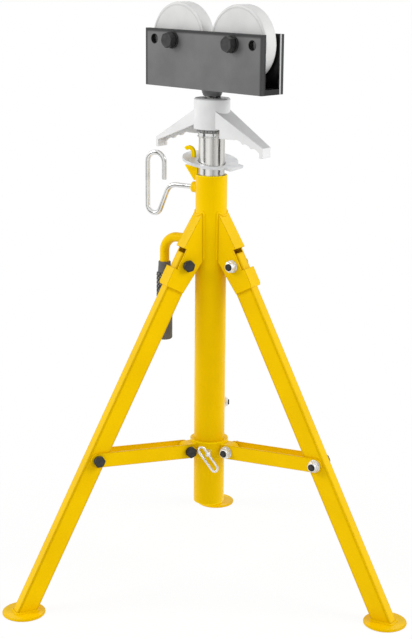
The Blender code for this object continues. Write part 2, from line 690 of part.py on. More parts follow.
def brace_nut_mesh():
    """The nut half of the brace bolt: the nut, the thread's end and the stub in the bar, as one piece."""
    shank = BRACE_SHEET + SEAT_GAP
    radius = BOLT_DIAMETER / 2
    top = BOLT_WASHER_HEIGHT + NUT_HEIGHT
    rings = [
        (round_ring(radius), -shank),
        (round_ring(radius), 0.0),
        (round_ring(BOLT_WASHER_DIAMETER / 2), 0.0),
        (round_ring(BOLT_WASHER_DIAMETER / 2), BOLT_WASHER_HEIGHT),
        (hex_ring(BOLT_HEX), BOLT_WASHER_HEIGHT),
        (hex_ring(BOLT_HEX), top - HEX_CHAMFER),
        (round_ring(BOLT_HEX / 2), top),
        (round_ring(radius), top),
        (round_ring(radius), top + THREAD_END - HEX_CHAMFER),
        (round_ring(radius - HEX_CHAMFER), top + THREAD_END),
    ]
    nut = lay(stacked(rings), "Y")
    bmesh.ops.rotate(nut, cent=(0, 0, 0), matrix=Matrix.Rotation(math.pi, 3, "Z"), verts=nut.verts)
    bmesh.ops.translate(nut, vec=(0, -BRACE_OUTER_SIDE - SEAT_GAP, 0), verts=nut.verts)
    return to_mesh(nut)


def pull_ring_axis():
    """Directions of the ring's long side and of its width, swung out, in the lock pin's radial frame."""
    along = Vector((0.0, math.sin(PULL_RING_LEAN), -math.cos(PULL_RING_LEAN)))
    across = Vector((0.0, -math.cos(PULL_RING_LEAN), -math.sin(PULL_RING_LEAN)))
    outward = Vector((1.0, 0.0, 0.0))
    return along, across * math.cos(PULL_RING_SWING) + outward * math.sin(PULL_RING_SWING)


def lock_pin_mesh():
    """The collar's lock pin, drawn just clear of the column, with a cross hole for its ring."""
    tip = COLUMN_RADIUS + SEAT_GAP
    radius = LOCK_PIN_DIAMETER / 2
    end = tip + LOCK_PIN_LENGTH
    profile = [(0.0, tip), (radius - HEX_CHAMFER, tip), (radius, tip + HEX_CHAMFER)]
    profile += [(radius, end - radius / 2), (radius / 2, end), (0.0, end)]
    base = to_mesh(lay(turned(profile, SMALL_FACETS), "X"))
    along, _ = pull_ring_axis()
    eye = rod(PULL_RING_WIRE / 2 + RUN_GAP, -LOCK_PIN_DIAMETER, LOCK_PIN_DIAMETER, BOLT_FACETS)
    bmesh.ops.rotate(
        eye, cent=(0, 0, 0), matrix=Vector((0, 0, 1)).rotation_difference(along).to_matrix(), verts=eye.verts
    )
    bmesh.ops.translate(eye, vec=(LOCK_PIN_EYE_RADIUS, 0, 0), verts=eye.verts)
    return combined(base, "DIFFERENCE", [eye])


def pull_ring_mesh():
    """The long wire ring that hangs through the lock pin's cross hole, about that hole."""
    along, across = pull_ring_axis()
    half = PULL_RING_STRAIGHT / 2
    middle = across * PULL_RING_END_RADIUS
    middle += along * (half + PULL_RING_END_RADIUS - PULL_RING_TOP_REACH)
    lower = arc((half, 0.0), PULL_RING_END_RADIUS, -math.pi / 2, math.pi / 2)
    upper = arc((-half, 0.0), PULL_RING_END_RADIUS, math.pi / 2, 3 * math.pi / 2)
    path = [middle + along * x + across * y for x, y in lower + upper]
    return to_mesh(swept(path, PULL_RING_WIRE, closed=True))


def mast_mesh():
    """The inner tube, with the height pin's row of holes."""
    bottom = MAST_TOP_HEIGHT - MAST_LENGTH
    base = to_mesh(tube(MAST_RADIUS, MAST_RADIUS - MAST_WALL, bottom, MAST_TOP_HEIGHT, ROUND_FACETS))
    cutters = []
    for i in range(MAST_HOLE_COUNT):
        height = PIN_HEIGHT - i * MAST_HOLE_PITCH
        drill = rod(PIN_DIAMETER / 2 + RUN_GAP, 0.0, MAST_RADIUS + OVERRUN, SMALL_FACETS)
        hole = lay(drill, "X", (0, 0, height))
        turn = Matrix.Rotation(math.radians(PIN_AZIMUTH), 3, "Z")
        bmesh.ops.rotate(hole, cent=(0, 0, 0), matrix=turn, verts=hole.verts)
        cutters.append(hole)
    return combined(base, "DIFFERENCE", cutters)


def boss_mesh():
    """The height pin's guide boss, coped to the column."""
    bar = rod(BOSS_DIAMETER / 2, 0.0, BOSS_OUTER_RADIUS, SMALL_FACETS)
    base = to_mesh(lay(bar, "X", (0, 0, PIN_HEIGHT)))
    bore = lay(
        rod(PIN_DIAMETER / 2 + HOLE_CLEARANCE, 0.0, BOSS_OUTER_RADIUS + OVERRUN, SMALL_FACETS),
        "X",
        (0, 0, PIN_HEIGHT),
    )
    return combined(base, "DIFFERENCE", [column_cutter(), bore])


def height_pin_mesh():
    """The bent height pin: a straight shank, a dropped loop and a free end."""
    low = -PIN_LOOP_DROP
    high = PIN_LOOP_RISE
    corners = [
        (MAST_RADIUS + RUN_GAP, 0.0, 0.0),
        (PIN_FIRST_BEND_RADIUS, 0.0, 0.0),
        (PIN_FIRST_BEND_RADIUS + PIN_SLOPE_RUN, 0.0, low),
        (PIN_LOOP_OUTER_RADIUS, 0.0, low),
        (PIN_LOOP_OUTER_RADIUS, 0.0, high),
        (PIN_LOOP_INNER_RADIUS, 0.0, high),
        (PIN_LOOP_INNER_RADIUS, 0.0, PIN_END_ABOVE),
    ]
    radii = (PIN_SHOULDER_BEND, PIN_LOWER_BEND, PIN_LOWER_BEND, PIN_UPPER_BEND, PIN_UPPER_BEND)
    return to_mesh(swept(filleted(corners, radii), PIN_DIAMETER))


def hook_mesh():
    """The jam plate's hook: a gusset on the column with a finger that curls over."""
    mid_radius = HOOK_INNER_RADIUS + HOOK_CURL_RADIUS
    centre = (mid_radius, HOOK_CURL_HEIGHT)
    outer = arc(centre, HOOK_CURL_RADIUS, math.pi, math.pi - HOOK_CURL_SWEEP)
    inner = arc(centre, HOOK_CURL_RADIUS - HOOK_FINGER_WIDTH, math.pi - HOOK_CURL_SWEEP, math.pi)
    finger = HOOK_INNER_RADIUS + HOOK_FINGER_WIDTH
    outline = [
        (BRACKET_INNER_RADIUS, GUSSET_LOW_HEIGHT),
        (BRACKET_INNER_RADIUS, COLUMN_TOP_HEIGHT - SEAT_GAP),
        (HOOK_INNER_RADIUS, GUSSET_TOP_HEIGHT),
    ]
    outline += outer + inner
    outline += [
        (finger, GUSSET_TOP_HEIGHT),
        (GUSSET_TOP_RADIUS, GUSSET_TOP_HEIGHT),
        (GUSSET_LOW_RADIUS, GUSSET_LOW_HEIGHT),
    ]
    base = to_mesh(prism(outline, -HOOK_SHEET / 2, HOOK_SHEET / 2))
    return combined(base, "DIFFERENCE", [column_cutter()])


def jam_frame():
    """The jam plate's tilted frame on the stand's axis."""
    turn = Matrix.Rotation(JAM_LOW_AZIMUTH, 4, "Z") @ Matrix.Rotation(JAM_TILT, 4, "Y")
    return Matrix.Translation((0, 0, JAM_HEIGHT)) @ turn @ Matrix.Rotation(-JAM_LOW_AZIMUTH, 4, "Z")


def hook_point():
    """Where the hook's finger passes the jam plate, on the stand's axis frame."""
    radius = HOOK_INNER_RADIUS + HOOK_FINGER_WIDTH / 2
    turn = math.radians(HOOK_AZIMUTH)
    x, y = radius * math.cos(turn), radius * math.sin(turn)
    along_low = x * math.cos(JAM_LOW_AZIMUTH) + y * math.sin(JAM_LOW_AZIMUTH)
    return Vector((x, y, JAM_HEIGHT - along_low * math.tan(JAM_TILT)))


def jam_plate_mesh():
    """The jam plate, in place on its tilt, about the hook's finger."""
    tab = Vector((math.cos(JAM_TAB_AZIMUTH), math.sin(JAM_TAB_AZIMUTH)))
    side = Vector((-tab.y, tab.x))
    centre = side * JAM_DISC_SIDE - tab * JAM_DISC_BACK
    shoulder = math.asin(JAM_TAB_HALF_WIDTH / JAM_DISC_RADIUS)
    start = JAM_TAB_AZIMUTH + shoulder
    rim = arc(tuple(centre), JAM_DISC_RADIUS, start, start + math.tau - 2 * shoulder)
    near = centre + tab * JAM_TAB_REACH - side * JAM_TAB_HALF_WIDTH
    far = centre + tab * JAM_TAB_REACH + side * JAM_TAB_HALF_WIDTH
    outline = rim + [tuple(near), tuple(far)]
    shape = prism(outline, -JAM_THICKNESS, 0.0)
    upright = Matrix(((1, 0, 0, 0), (0, 0, 1, 0), (0, 1, 0, 0), (0, 0, 0, 1)))
    bmesh.ops.transform(shape, matrix=jam_frame() @ upright, verts=shape.verts)
    bore = rod(JAM_BORE / 2, -OVERRUN, OVERRUN, ROUND_FACETS)
    bmesh.ops.transform(bore, matrix=jam_frame(), verts=bore.verts)
    slot = bmesh.new()
    bmesh.ops.create_cube(slot, size=1.0)
    long = HOOK_FINGER_WIDTH + 2 * HOOK_SLOT_SIDE
    wide = HOOK_SHEET + 2 * HOOK_SLOT_SIDE
    bmesh.ops.scale(slot, vec=(long, wide, 2 * OVERRUN), verts=slot.verts)
    bmesh.ops.rotate(
        slot, cent=(0, 0, 0), matrix=Matrix.Rotation(math.radians(HOOK_AZIMUTH), 3, "Z"), verts=slot.verts
    )
    bmesh.ops.translate(slot, vec=hook_point(), verts=slot.verts)
    mesh = combined(to_mesh(shape), "DIFFERENCE", [bore, slot])
    mesh.transform(Matrix.Translation(-hook_point()))
    return mesh


def carry_handle_mesh():
    """The bent handle rod, coped to the column."""
    corners = [(0.0, 0.0, HANDLE_HEIGHT), (HANDLE_REACH, 0.0, HANDLE_HEIGHT)]
    corners.append((HANDLE_REACH, 0.0, HANDLE_END_HEIGHT))
    base = to_mesh(swept(filleted(corners, (HANDLE_BEND,)), HANDLE_ROD))
    return combined(base, "DIFFERENCE", [column_cutter()])


def grip_mesh():
    """The rubber grip: a slim mouth that swells to a full body, closed at its lower end."""
    bore = HANDLE_ROD / 2 + SEAT_GAP
    body = GRIP_BODY_DIAMETER / 2
    profile = [
        (0.0, GRIP_BOTTOM_HEIGHT),
        (body - GRIP_ROUNDING, GRIP_BOTTOM_HEIGHT),
        (body, GRIP_BOTTOM_HEIGHT + GRIP_ROUNDING),
        (body, GRIP_TOP_HEIGHT - GRIP_TAPER_LENGTH),
        (GRIP_TOP_DIAMETER / 2, GRIP_TOP_HEIGHT),
        (bore, GRIP_TOP_HEIGHT),
        (bore, HANDLE_END_HEIGHT - SEAT_GAP),
        (0.0, HANDLE_END_HEIGHT - SEAT_GAP),
    ]
    return to_mesh(turned(profile, MEDIUM_FACETS))


def wing_outline():
    """The side of a wing above the hub's bottom: sloping top, turned-down tip, scalloped long wall."""
    tip_inner = WING_TIP_RADIUS - WING_TIP_LENGTH
    outline = [
        (WING_ROOT_RADIUS, WING_ROOT_BOTTOM),
        (WING_ROOT_RADIUS, WING_ROOT_TOP),
        (WING_TIP_RADIUS, WING_TIP_TOP),
        (WING_TIP_RADIUS, WING_TIP_BOTTOM),
        (tip_inner, WING_TIP_BOTTOM),
    ]
    run = (tip_inner - WING_FLAT_END_RADIUS) / WING_SCALLOPS
    rise = (WING_FLAT_BOTTOM - WING_GRIP_BOTTOM) / WING_SCALLOPS
    for i in range(WING_SCALLOPS):
        for share in SCALLOP_SHARES:
            lift = WING_SCALLOP_DEPTH * math.sin(math.pi * share)
            outline.append((tip_inner - run * (i + share), WING_GRIP_BOTTOM + rise * (i + share) + lift))
    outline.append((WING_FLAT_END_RADIUS, WING_FLAT_BOTTOM))
    outline.append((WING_FLAT_START_RADIUS, WING_FLAT_BOTTOM))
    outline.append((WING_FLAT_START_RADIUS, WING_ROOT_BOTTOM))
    return outline


def wing_top(radius):
    """Height of a wing's top face at this radius, above the hub's bottom."""
    share = (radius - WING_ROOT_RADIUS) / (WING_TIP_RADIUS - WING_ROOT_RADIUS)
    return WING_ROOT_TOP + (WING_TIP_TOP - WING_ROOT_TOP) * share


def taper_sides(shape, inset):
    """Set both sides of a wing shape on the wing's tapering half width, less an inset."""
    for vert in shape.verts:
        share = (vert.co.x - WING_ROOT_RADIUS) / (WING_TIP_RADIUS - WING_ROOT_RADIUS)
        half = (WING_ROOT_WIDTH + (WING_TIP_WIDTH - WING_ROOT_WIDTH) * share) / 2 - inset
        vert.co.y = math.copysign(half, vert.co.y)


def handle_nut_mesh():
    """The cast jack nut: a hub with two drooping wings, each with a long and a short side wall."""
    radius = HUB_DIAMETER / 2
    bore = SCREW_DIAMETER / 2 + SEAT_GAP
    profile = [
        (bore, HUB_BOTTOM_HEIGHT),
        (radius, HUB_BOTTOM_HEIGHT),
        (radius, HUB_TOP_HEIGHT - HUB_CHAMFER),
        (radius - HUB_CHAMFER, HUB_TOP_HEIGHT),
        (bore, HUB_TOP_HEIGHT),
    ]
    hub = to_mesh(turned(profile, MEDIUM_FACETS))
    slope = math.atan2(WING_ROOT_TOP - WING_TIP_TOP, WING_TIP_RADIUS - WING_ROOT_RADIUS)
    drop = WING_SHEET / math.cos(slope)
    tip_inner = WING_TIP_RADIUS - WING_SHEET
    low = WING_TIP_BOTTOM - OVERRUN
    under = [
        (radius, low),
        (radius, wing_top(radius) - drop),
        (tip_inner, wing_top(tip_inner) - drop),
        (tip_inner, low),
    ]
    beside = [
        (WING_ROOT_RADIUS - OVERRUN, low),
        (WING_ROOT_RADIUS - OVERRUN, WING_SHORT_ROOT_BOTTOM),
        (tip_inner + SEAT_GAP, WING_SHORT_TIP_BOTTOM),
        (tip_inner + SEAT_GAP, low),
    ]
    hub_foot = Matrix.Translation((0, 0, HUB_BOTTOM_HEIGHT))
    wings = []
    hollows = []
    for azimuth in WING_AZIMUTHS:
        blank = prism(wing_outline(), -1, 1)
        taper_sides(blank, 0)
        wing = bmesh.new()
        wing.from_mesh(combined(to_mesh(blank), "DIFFERENCE", [prism(beside, SEAT_GAP, WING_ROOT_WIDTH)]))
        hollow = prism(under, -1, 1)
        taper_sides(hollow, WING_SHEET)
        turn = Matrix.Rotation(math.radians(azimuth), 4, "Z")
        for shape in (wing, hollow):
            bmesh.ops.transform(shape, matrix=hub_foot @ turn, verts=shape.verts)
        wings.append(wing)
        hollows.append(hollow)
    joined = combined(hub, "UNION", wings)
    bore_cutter = rod(bore, HUB_BOTTOM_HEIGHT - OVERRUN, HUB_TOP_HEIGHT + OVERRUN, MEDIUM_FACETS)
    return combined(joined, "DIFFERENCE", hollows + [bore_cutter])


def lift_screw_mesh():
    """The jack screw, with the pivot stud that carries the roller head."""
    shoulder = HUB_TOP_HEIGHT + HEAD_BOSS_GAP - SEAT_GAP
    radius = SCREW_DIAMETER / 2
    stud = PIVOT_STUD_DIAMETER / 2
    top = FLOOR_TOP_HEIGHT + PIVOT_STUD_ABOVE_FLOOR
    profile = [
        (0.0, shoulder - SCREW_LENGTH),
        (radius - HEX_CHAMFER, shoulder - SCREW_LENGTH),
        (radius, shoulder - SCREW_LENGTH + HEX_CHAMFER),
        (radius, shoulder),
        (stud, shoulder),
        (stud, top),
        (0.0, top),
    ]
    return to_mesh(turned(profile, MEDIUM_FACETS))


def head_boss_mesh():
    """The conical boss under the channel."""
    bore = PIVOT_STUD_DIAMETER / 2 + HOLE_CLEARANCE
    low = HUB_TOP_HEIGHT + HEAD_BOSS_GAP
    high = low + HEAD_BOSS_HEIGHT
    profile = [(bore, low), (HEAD_BOSS_LOW_DIAMETER / 2, low)]
    profile += [(HEAD_BOSS_TOP_DIAMETER / 2, high), (bore, high)]
    return to_mesh(turned(profile, MEDIUM_FACETS))


def channel_mesh():
    """The roller channel, with two pairs of axle holes in its sides and the pivot hole in its floor."""
    half = CHANNEL_LENGTH / 2
    low, high = CHANNEL_BOTTOM_HEIGHT, CHANNEL_BOTTOM_HEIGHT + CHANNEL_HEIGHT
    base = prism([(-half, low), (half, low), (half, high), (-half, high)], -CHANNEL_SIDE, CHANNEL_SIDE)
    over = half + OVERRUN
    trough = prism(
        [
            (-over, FLOOR_TOP_HEIGHT), (over, FLOOR_TOP_HEIGHT),
            (over, high + OVERRUN), (-over, high + OVERRUN),
        ],
        -CHANNEL_INNER_SIDE,
        CHANNEL_INNER_SIDE,
    )
    stud_hole = PIVOT_STUD_DIAMETER / 2 + HOLE_CLEARANCE
    cutters = [trough, rod(stud_hole, low - OVERRUN, FLOOR_TOP_HEIGHT + OVERRUN, MEDIUM_FACETS)]
    for spacing, radius in (
        (AXLE_SPACING, AXLE_DIAMETER / 2 + HOLE_CLEARANCE),
        (OUTER_HOLE_SPACING, OUTER_HOLE_DIAMETER / 2),
    ):
        for side in (-1, 1):
            cutters.append(cross_bore(radius, (side * spacing / 2, 0, AXLE_HEIGHT), CHANNEL_WIDTH))
    return combined(to_mesh(base), "DIFFERENCE", cutters)


def roller_mesh():
    """A plastic roller, about its axle."""
    radius = ROLLER_DIAMETER / 2
    half = ROLLER_WIDTH / 2
    bore = BUSH_DIAMETER / 2 + HOLE_CLEARANCE
    profile = [
        (bore, -half),
        (radius - ROLLER_EDGE, -half),
        (radius, ROLLER_EDGE - half),
        (radius, half - ROLLER_EDGE),
        (radius - ROLLER_EDGE, half),
        (bore, half),
    ]
    return to_mesh(lay(turned(profile, ROUND_FACETS), "Y"))


def roller_bush_mesh():
    """The spacer bush that the roller turns on, about its axle."""
    half = CHANNEL_INNER_SIDE - SEAT_GAP
    bush = tube(BUSH_DIAMETER / 2, AXLE_DIAMETER / 2 + HOLE_CLEARANCE, -half, half, MEDIUM_FACETS)
    return to_mesh(lay(bush, "Y"))


def axle_bolt_mesh():
    """The axle bolt, its head and washer face on the channel's front, about its axle."""
    shank = CHANNEL_WIDTH + 2 * SEAT_GAP + AXLE_WASHER_HEIGHT + AXLE_NUT_HEIGHT + THREAD_END
    bolt = hex_bolt(
        AXLE_DIAMETER, AXLE_HEX, AXLE_HEAD_HEIGHT, shank, AXLE_WASHER_DIAMETER, AXLE_WASHER_HEIGHT
    )
    bolt = lay(bolt, "Y")
    bmesh.ops.rotate(bolt, cent=(0, 0, 0), matrix=Matrix.Rotation(math.pi, 3, "Z"), verts=bolt.verts)
    bmesh.ops.translate(bolt, vec=(0, -CHANNEL_SIDE - SEAT_GAP, 0), verts=bolt.verts)
    return to_mesh(bolt)


def axle_nut_mesh():
    """The nut on the channel's back, about its axle."""
    nut = hex_nut(AXLE_DIAMETER, AXLE_HEX, AXLE_NUT_HEIGHT, AXLE_WASHER_DIAMETER, AXLE_WASHER_HEIGHT)
    return to_mesh(lay(nut, "Y", (0, CHANNEL_SIDE + SEAT_GAP, 0)))


for leftover in list(bpy.data.objects):
    bpy.data.objects.remove(leftover, do_unlink=True)

YELLOW = paint("yellow_paint", (0.93, 0.58, 0.0), 0.35)
GREY = paint("grey_paint", (0.16, 0.16, 0.16), 0.55)
ZINC = paint("bright_zinc", (0.75, 0.75, 0.74), 0.3, 1.0)
BLACK = paint("black_steel", (0.03, 0.03, 0.035), 0.5, 0.6)
CAST = paint("cast_grey", (0.62, 0.62, 0.62), 0.5, 0.2)
NYLON = paint("white_plastic", (0.75, 0.75, 0.74), 0.5)
RUBBER = paint("black_rubber", (0.06, 0.06, 0.065), 0.8)

stand_axis = frame_empty("stand_axis", place=(0.0, AXIS_Y, 0.0))
head_axis = frame_empty("head_axis", stand_axis, azimuth=math.degrees(HEAD_TURN))

add("column_tube", column_mesh(), YELLOW, stand_axis)
bracket, leg, foot = bracket_mesh(), leg_mesh(), foot_mesh()
pivot_bolt, pivot_nut = bolt_through_mesh(BRACKET_OUTER_SIDE), nut_mesh(BRACKET_OUTER_SIDE)
brace, brace_bolt, brace_nut = brace_mesh(), brace_bolt_mesh(), brace_nut_mesh()
collar_bolt, collar_nut = bolt_through_mesh(BRACE_OUTER_SIDE), nut_mesh(BRACE_OUTER_SIDE)
leg_place = (LEG_PIVOT_RADIUS, 0.0, LEG_PIVOT_HEIGHT)
brace_place = (BRACE_BOLT_RADIUS, 0.0, BRACE_BOLT_HEIGHT)
collar_place = (COLLAR_BOLT_RADIUS, 0.0, COLLAR_BOLT_HEIGHT)
for side, azimuth in LEG_AZIMUTHS.items():
    add(f"leg_bracket_{side}", bracket, YELLOW, stand_axis, azimuth=azimuth)
    add(f"pivot_bolt_{side}", pivot_bolt, BLACK, stand_axis, leg_place, azimuth)
    add(f"pivot_nut_{side}", pivot_nut, ZINC, stand_axis, leg_place, azimuth)
    add(f"leg_{side}", leg, YELLOW, stand_axis, leg_place, azimuth)
    add(f"foot_{side}", foot, YELLOW, stand_axis, (FOOT_CENTRE_RADIUS, 0.0, 0.0), azimuth)
    for edge, offset in (("a", BRACKET_SIDE), ("b", -BRACE_OUTER_SIDE)):
        place = (COLLAR_BOLT_RADIUS, offset, COLLAR_BOLT_HEIGHT)
        add(f"brace_{side}_{edge}", brace, YELLOW, stand_axis, place, azimuth)
    add(f"brace_bolt_{side}", brace_bolt, BLACK, stand_axis, brace_place, azimuth)
    add(f"brace_nut_{side}", brace_nut, ZINC, stand_axis, brace_place, azimuth)
    add(f"collar_bolt_{side}", collar_bolt, BLACK, stand_axis, collar_place, azimuth)
    add(f"collar_nut_{side}", collar_nut, ZINC, stand_axis, collar_place, azimuth)

add("collar", collar_mesh(), YELLOW, stand_axis, (0.0, 0.0, COLLAR_BOLT_HEIGHT))
add("lock_pin", lock_pin_mesh(), ZINC, stand_axis, (0.0, 0.0, COLLAR_BOLT_HEIGHT), LOCK_PIN_AZIMUTH)
ring_eye = (LOCK_PIN_EYE_RADIUS, 0.0, COLLAR_BOLT_HEIGHT)
add("pull_ring", pull_ring_mesh(), ZINC, stand_axis, ring_eye, LOCK_PIN_AZIMUTH)

add("inner_tube", mast_mesh(), ZINC, stand_axis)
add("height_pin_boss", boss_mesh(), YELLOW, stand_axis, azimuth=PIN_AZIMUTH)
add("height_pin", height_pin_mesh(), ZINC, stand_axis, (0.0, 0.0, PIN_HEIGHT), PIN_AZIMUTH)
add("latch_hook", hook_mesh(), YELLOW, stand_axis, azimuth=HOOK_AZIMUTH)
jam_plate = add("jam_plate", jam_plate_mesh(), ZINC, stand_axis)
jam_plate.location = hook_point()

add("carry_handle", carry_handle_mesh(), YELLOW, stand_axis, azimuth=HANDLE_AZIMUTH)
add("handle_grip", grip_mesh(), RUBBER, stand_axis, (HANDLE_REACH, 0.0, 0.0), HANDLE_AZIMUTH)

washer_low = MAST_TOP_HEIGHT + SEAT_GAP
washer = tube(
    WASHER_DIAMETER / 2, SCREW_DIAMETER / 2 + RUN_GAP, washer_low, washer_low + WASHER_HEIGHT, MEDIUM_FACETS
)
add("thrust_washer", to_mesh(washer), ZINC, stand_axis)
add("handle_nut", handle_nut_mesh(), CAST, stand_axis)
add("lift_screw", lift_screw_mesh(), ZINC, stand_axis)
add("head_boss", head_boss_mesh(), GREY, head_axis)
add("head_channel", channel_mesh(), GREY, head_axis)
retainer_low = FLOOR_TOP_HEIGHT + SEAT_GAP
retainer = tube(
    RETAINER_DIAMETER / 2,
    PIVOT_STUD_DIAMETER / 2 + HOLE_CLEARANCE,
    retainer_low,
    retainer_low + RETAINER_THICKNESS,
    MEDIUM_FACETS,
)
add("swivel_retainer", to_mesh(retainer), ZINC, head_axis)
roller, roller_bush = roller_mesh(), roller_bush_mesh()
axle_bolt, axle_nut = axle_bolt_mesh(), axle_nut_mesh()
for name, along in (("left", -AXLE_SPACING / 2), ("right", AXLE_SPACING / 2)):
    place = (along, 0.0, AXLE_HEIGHT)
    add(f"roller_{name}", roller, NYLON, head_axis, place)
    add(f"roller_bush_{name}", roller_bush, ZINC, head_axis, place)
    add(f"axle_bolt_{name}", axle_bolt, BLACK, head_axis, place)
    add(f"axle_nut_{name}", axle_nut, BLACK, head_axis, place)
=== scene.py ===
"""Looks of the pipe jack stand: painted tripod and column, plated mast and pins, cast jack nut, roller head.

Metres, +Z up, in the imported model's frame. The column's axis stands at x = 0, y = -0.079559,
and the legs stand at 210, 330 and 90 degrees round it.
"""
import json
import math

import bmesh
import bpy
from mathutils import Matrix, Vector

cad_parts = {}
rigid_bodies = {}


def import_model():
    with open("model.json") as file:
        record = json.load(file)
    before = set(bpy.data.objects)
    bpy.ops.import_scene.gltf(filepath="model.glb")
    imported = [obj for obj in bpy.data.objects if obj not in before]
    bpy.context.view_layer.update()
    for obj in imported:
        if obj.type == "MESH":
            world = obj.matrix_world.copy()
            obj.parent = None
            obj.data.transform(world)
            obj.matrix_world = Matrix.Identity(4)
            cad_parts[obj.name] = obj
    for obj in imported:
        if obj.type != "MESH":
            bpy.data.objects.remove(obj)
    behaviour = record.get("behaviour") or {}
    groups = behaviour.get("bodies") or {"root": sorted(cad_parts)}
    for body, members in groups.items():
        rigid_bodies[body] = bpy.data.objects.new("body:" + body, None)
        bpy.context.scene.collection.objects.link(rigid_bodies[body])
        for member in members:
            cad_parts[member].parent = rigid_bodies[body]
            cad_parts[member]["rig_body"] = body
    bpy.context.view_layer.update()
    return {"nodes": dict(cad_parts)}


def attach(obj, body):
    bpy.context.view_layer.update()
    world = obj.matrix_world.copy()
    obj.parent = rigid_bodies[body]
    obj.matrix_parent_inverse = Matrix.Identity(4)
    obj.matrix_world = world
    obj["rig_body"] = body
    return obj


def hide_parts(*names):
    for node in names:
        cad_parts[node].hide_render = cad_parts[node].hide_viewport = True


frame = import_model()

nodes = frame["nodes"]

# Column: a drawn steel tube, 48.3 mm across, sawn square and deburred at both ends.
# Everything on the tripod is powder coated yellow, with a fine orange-peel skin, a little uneven
# in tone, with a painted highlight along sharp edges and painted shade along tube corners and folds.
AXIS_Y = -0.079559
COLUMN_RADIUS = 0.02415
YELLOW = (0.87, 0.552, 0.0)
YELLOW_DEEP = (0.78, 0.476, 0.0)
# Painted highlight along sharp edges, and painted shade along tube corners and folds.
YELLOW_EDGE_HIGHLIGHT = (1.0, 0.82, 0.0)
YELLOW_CORNER_SHADE = (0.50, 0.27, 0.0)
YELLOW_SHEEN = (1.0, 0.78, 0.06, 1.0)


def new_finish(name, roughness, metallic):
    """A named material with its shader's plain values set."""
    material = bpy.data.materials.new(name)
    material.use_nodes = True
    shader = material.node_tree.nodes["Principled BSDF"]
    shader.inputs["Roughness"].default_value = roughness
    shader.inputs["Metallic"].default_value = metallic
    return material


def grain(material, scale, detail=2.0, stretch=(1.0, 1.0, 1.0)):
    """Noise on the piece's own Object coordinates."""
    tree = material.node_tree
    place = tree.nodes.new("ShaderNodeTexCoord")
    mapping = tree.nodes.new("ShaderNodeMapping")
    mapping.inputs["Scale"].default_value = stretch
    texture = tree.nodes.new("ShaderNodeTexNoise")
    texture.inputs["Scale"].default_value = scale
    texture.inputs["Detail"].default_value = detail
    tree.links.new(place.outputs["Object"], mapping.inputs["Vector"])
    tree.links.new(mapping.outputs["Vector"], texture.inputs["Vector"])
    return texture.outputs["Fac"]


def spread(material, value, low, high, start=0.35, end=0.65):
    """A pattern's value spread from low to high."""
    node = material.node_tree.nodes.new("ShaderNodeMapRange")
    for name, number in (("From Min", start), ("From Max", end), ("To Min", low), ("To Max", high)):
        node.inputs[name].default_value = number
    material.node_tree.links.new(value, node.inputs["Value"])
    return node.outputs["Result"]


def tinted(material, factor, first, second):
    """Two colours, or a colour and a pattern of colour, mixed by a pattern."""
    node = material.node_tree.nodes.new("ShaderNodeMix")
    node.data_type = "RGBA"
    material.node_tree.links.new(factor, node.inputs[0])
    for place, colour in ((6, first), (7, second)):
        if isinstance(colour, tuple):
            node.inputs[place].default_value = (*colour, 1.0)
        else:
            material.node_tree.links.new(colour, node.inputs[place])
    return node.outputs[2]


def mottled(material, scale, detail, share, first, second):
    """Two colours in soft patches, the second coming through by this share."""
    return tinted(material, spread(material, grain(material, scale, detail), 0.0, share), first, second)


def edge_mask(material, width, strength, sharp, soft):
    """Nought on open faces, rising to strength along edges of this width."""
    tree = material.node_tree
    rounded = tree.nodes.new("ShaderNodeBevel")
    rounded.samples = 4
    rounded.inputs["Radius"].default_value = width
    true = tree.nodes.new("ShaderNodeNewGeometry")
    turn = tree.nodes.new("ShaderNodeVectorMath")
    turn.operation = "DOT_PRODUCT"
    tree.links.new(rounded.outputs["Normal"], turn.inputs[0])
    tree.links.new(true.outputs["Normal"], turn.inputs[1])
    return spread(material, turn.outputs["Value"], strength, 0.0, sharp, soft)


def dressed(material, colour, roughness, height, strength, depth=0.0002):
    """Lead a colour, a roughness and a bump pattern into the shader."""
    tree = material.node_tree
    shader = tree.nodes["Principled BSDF"]
    tree.links.new(colour, shader.inputs["Base Color"])
    tree.links.new(roughness, shader.inputs["Roughness"])
    bump = tree.nodes.new("ShaderNodeBump")
    bump.inputs["Strength"].default_value = strength
    bump.inputs["Distance"].default_value = depth
    tree.links.new(height, bump.inputs["Height"])
    tree.links.new(bump.outputs["Normal"], shader.inputs["Normal"])
    return material


def yellow_paint(name, edges, tone_there=YELLOW_EDGE_HIGHLIGHT, width=0.003, sharp=0.93, soft=0.998):
    """The tripod's powder coat, another tone painted by this much along edges of this width: a painted
    highlight by default, painted shade where the dark corner tone is given.
    """
    coat = new_finish(name, 0.33, 0.0)
    shader = coat.node_tree.nodes["Principled BSDF"]
    shader.inputs["Specular IOR Level"].default_value = 0.15
    shader.inputs["Specular Tint"].default_value = YELLOW_SHEEN
    tone = mottled(coat, 14.0, 4.0, 0.5, YELLOW, YELLOW_DEEP)
    if edges:
        tone = tinted(coat, edge_mask(coat, width, edges, sharp, soft), tone, tone_there)
    roughness = spread(coat, grain(coat, 60.0, 3.0), 0.27, 0.42)
    return dressed(coat, tone, roughness, grain(coat, 620.0, 2.0), 0.16, 0.0003)


# The plain coat has a painted highlight along sharp edges; the tube and fold coats have painted shade along
# corners and folds.
yellow_coat = yellow_paint("yellow_powder_coat", 0.9)
tube_coat = yellow_paint("yellow_coat_on_tube", 0.8, YELLOW_CORNER_SHADE, 0.004, 0.975, 0.997)
fold_coat = yellow_paint("yellow_coat_on_folds", 0.85, YELLOW_CORNER_SHADE, 0.0018, 0.95, 0.995)
weld_coat = yellow_paint("yellow_coat_on_welds", 0.0)


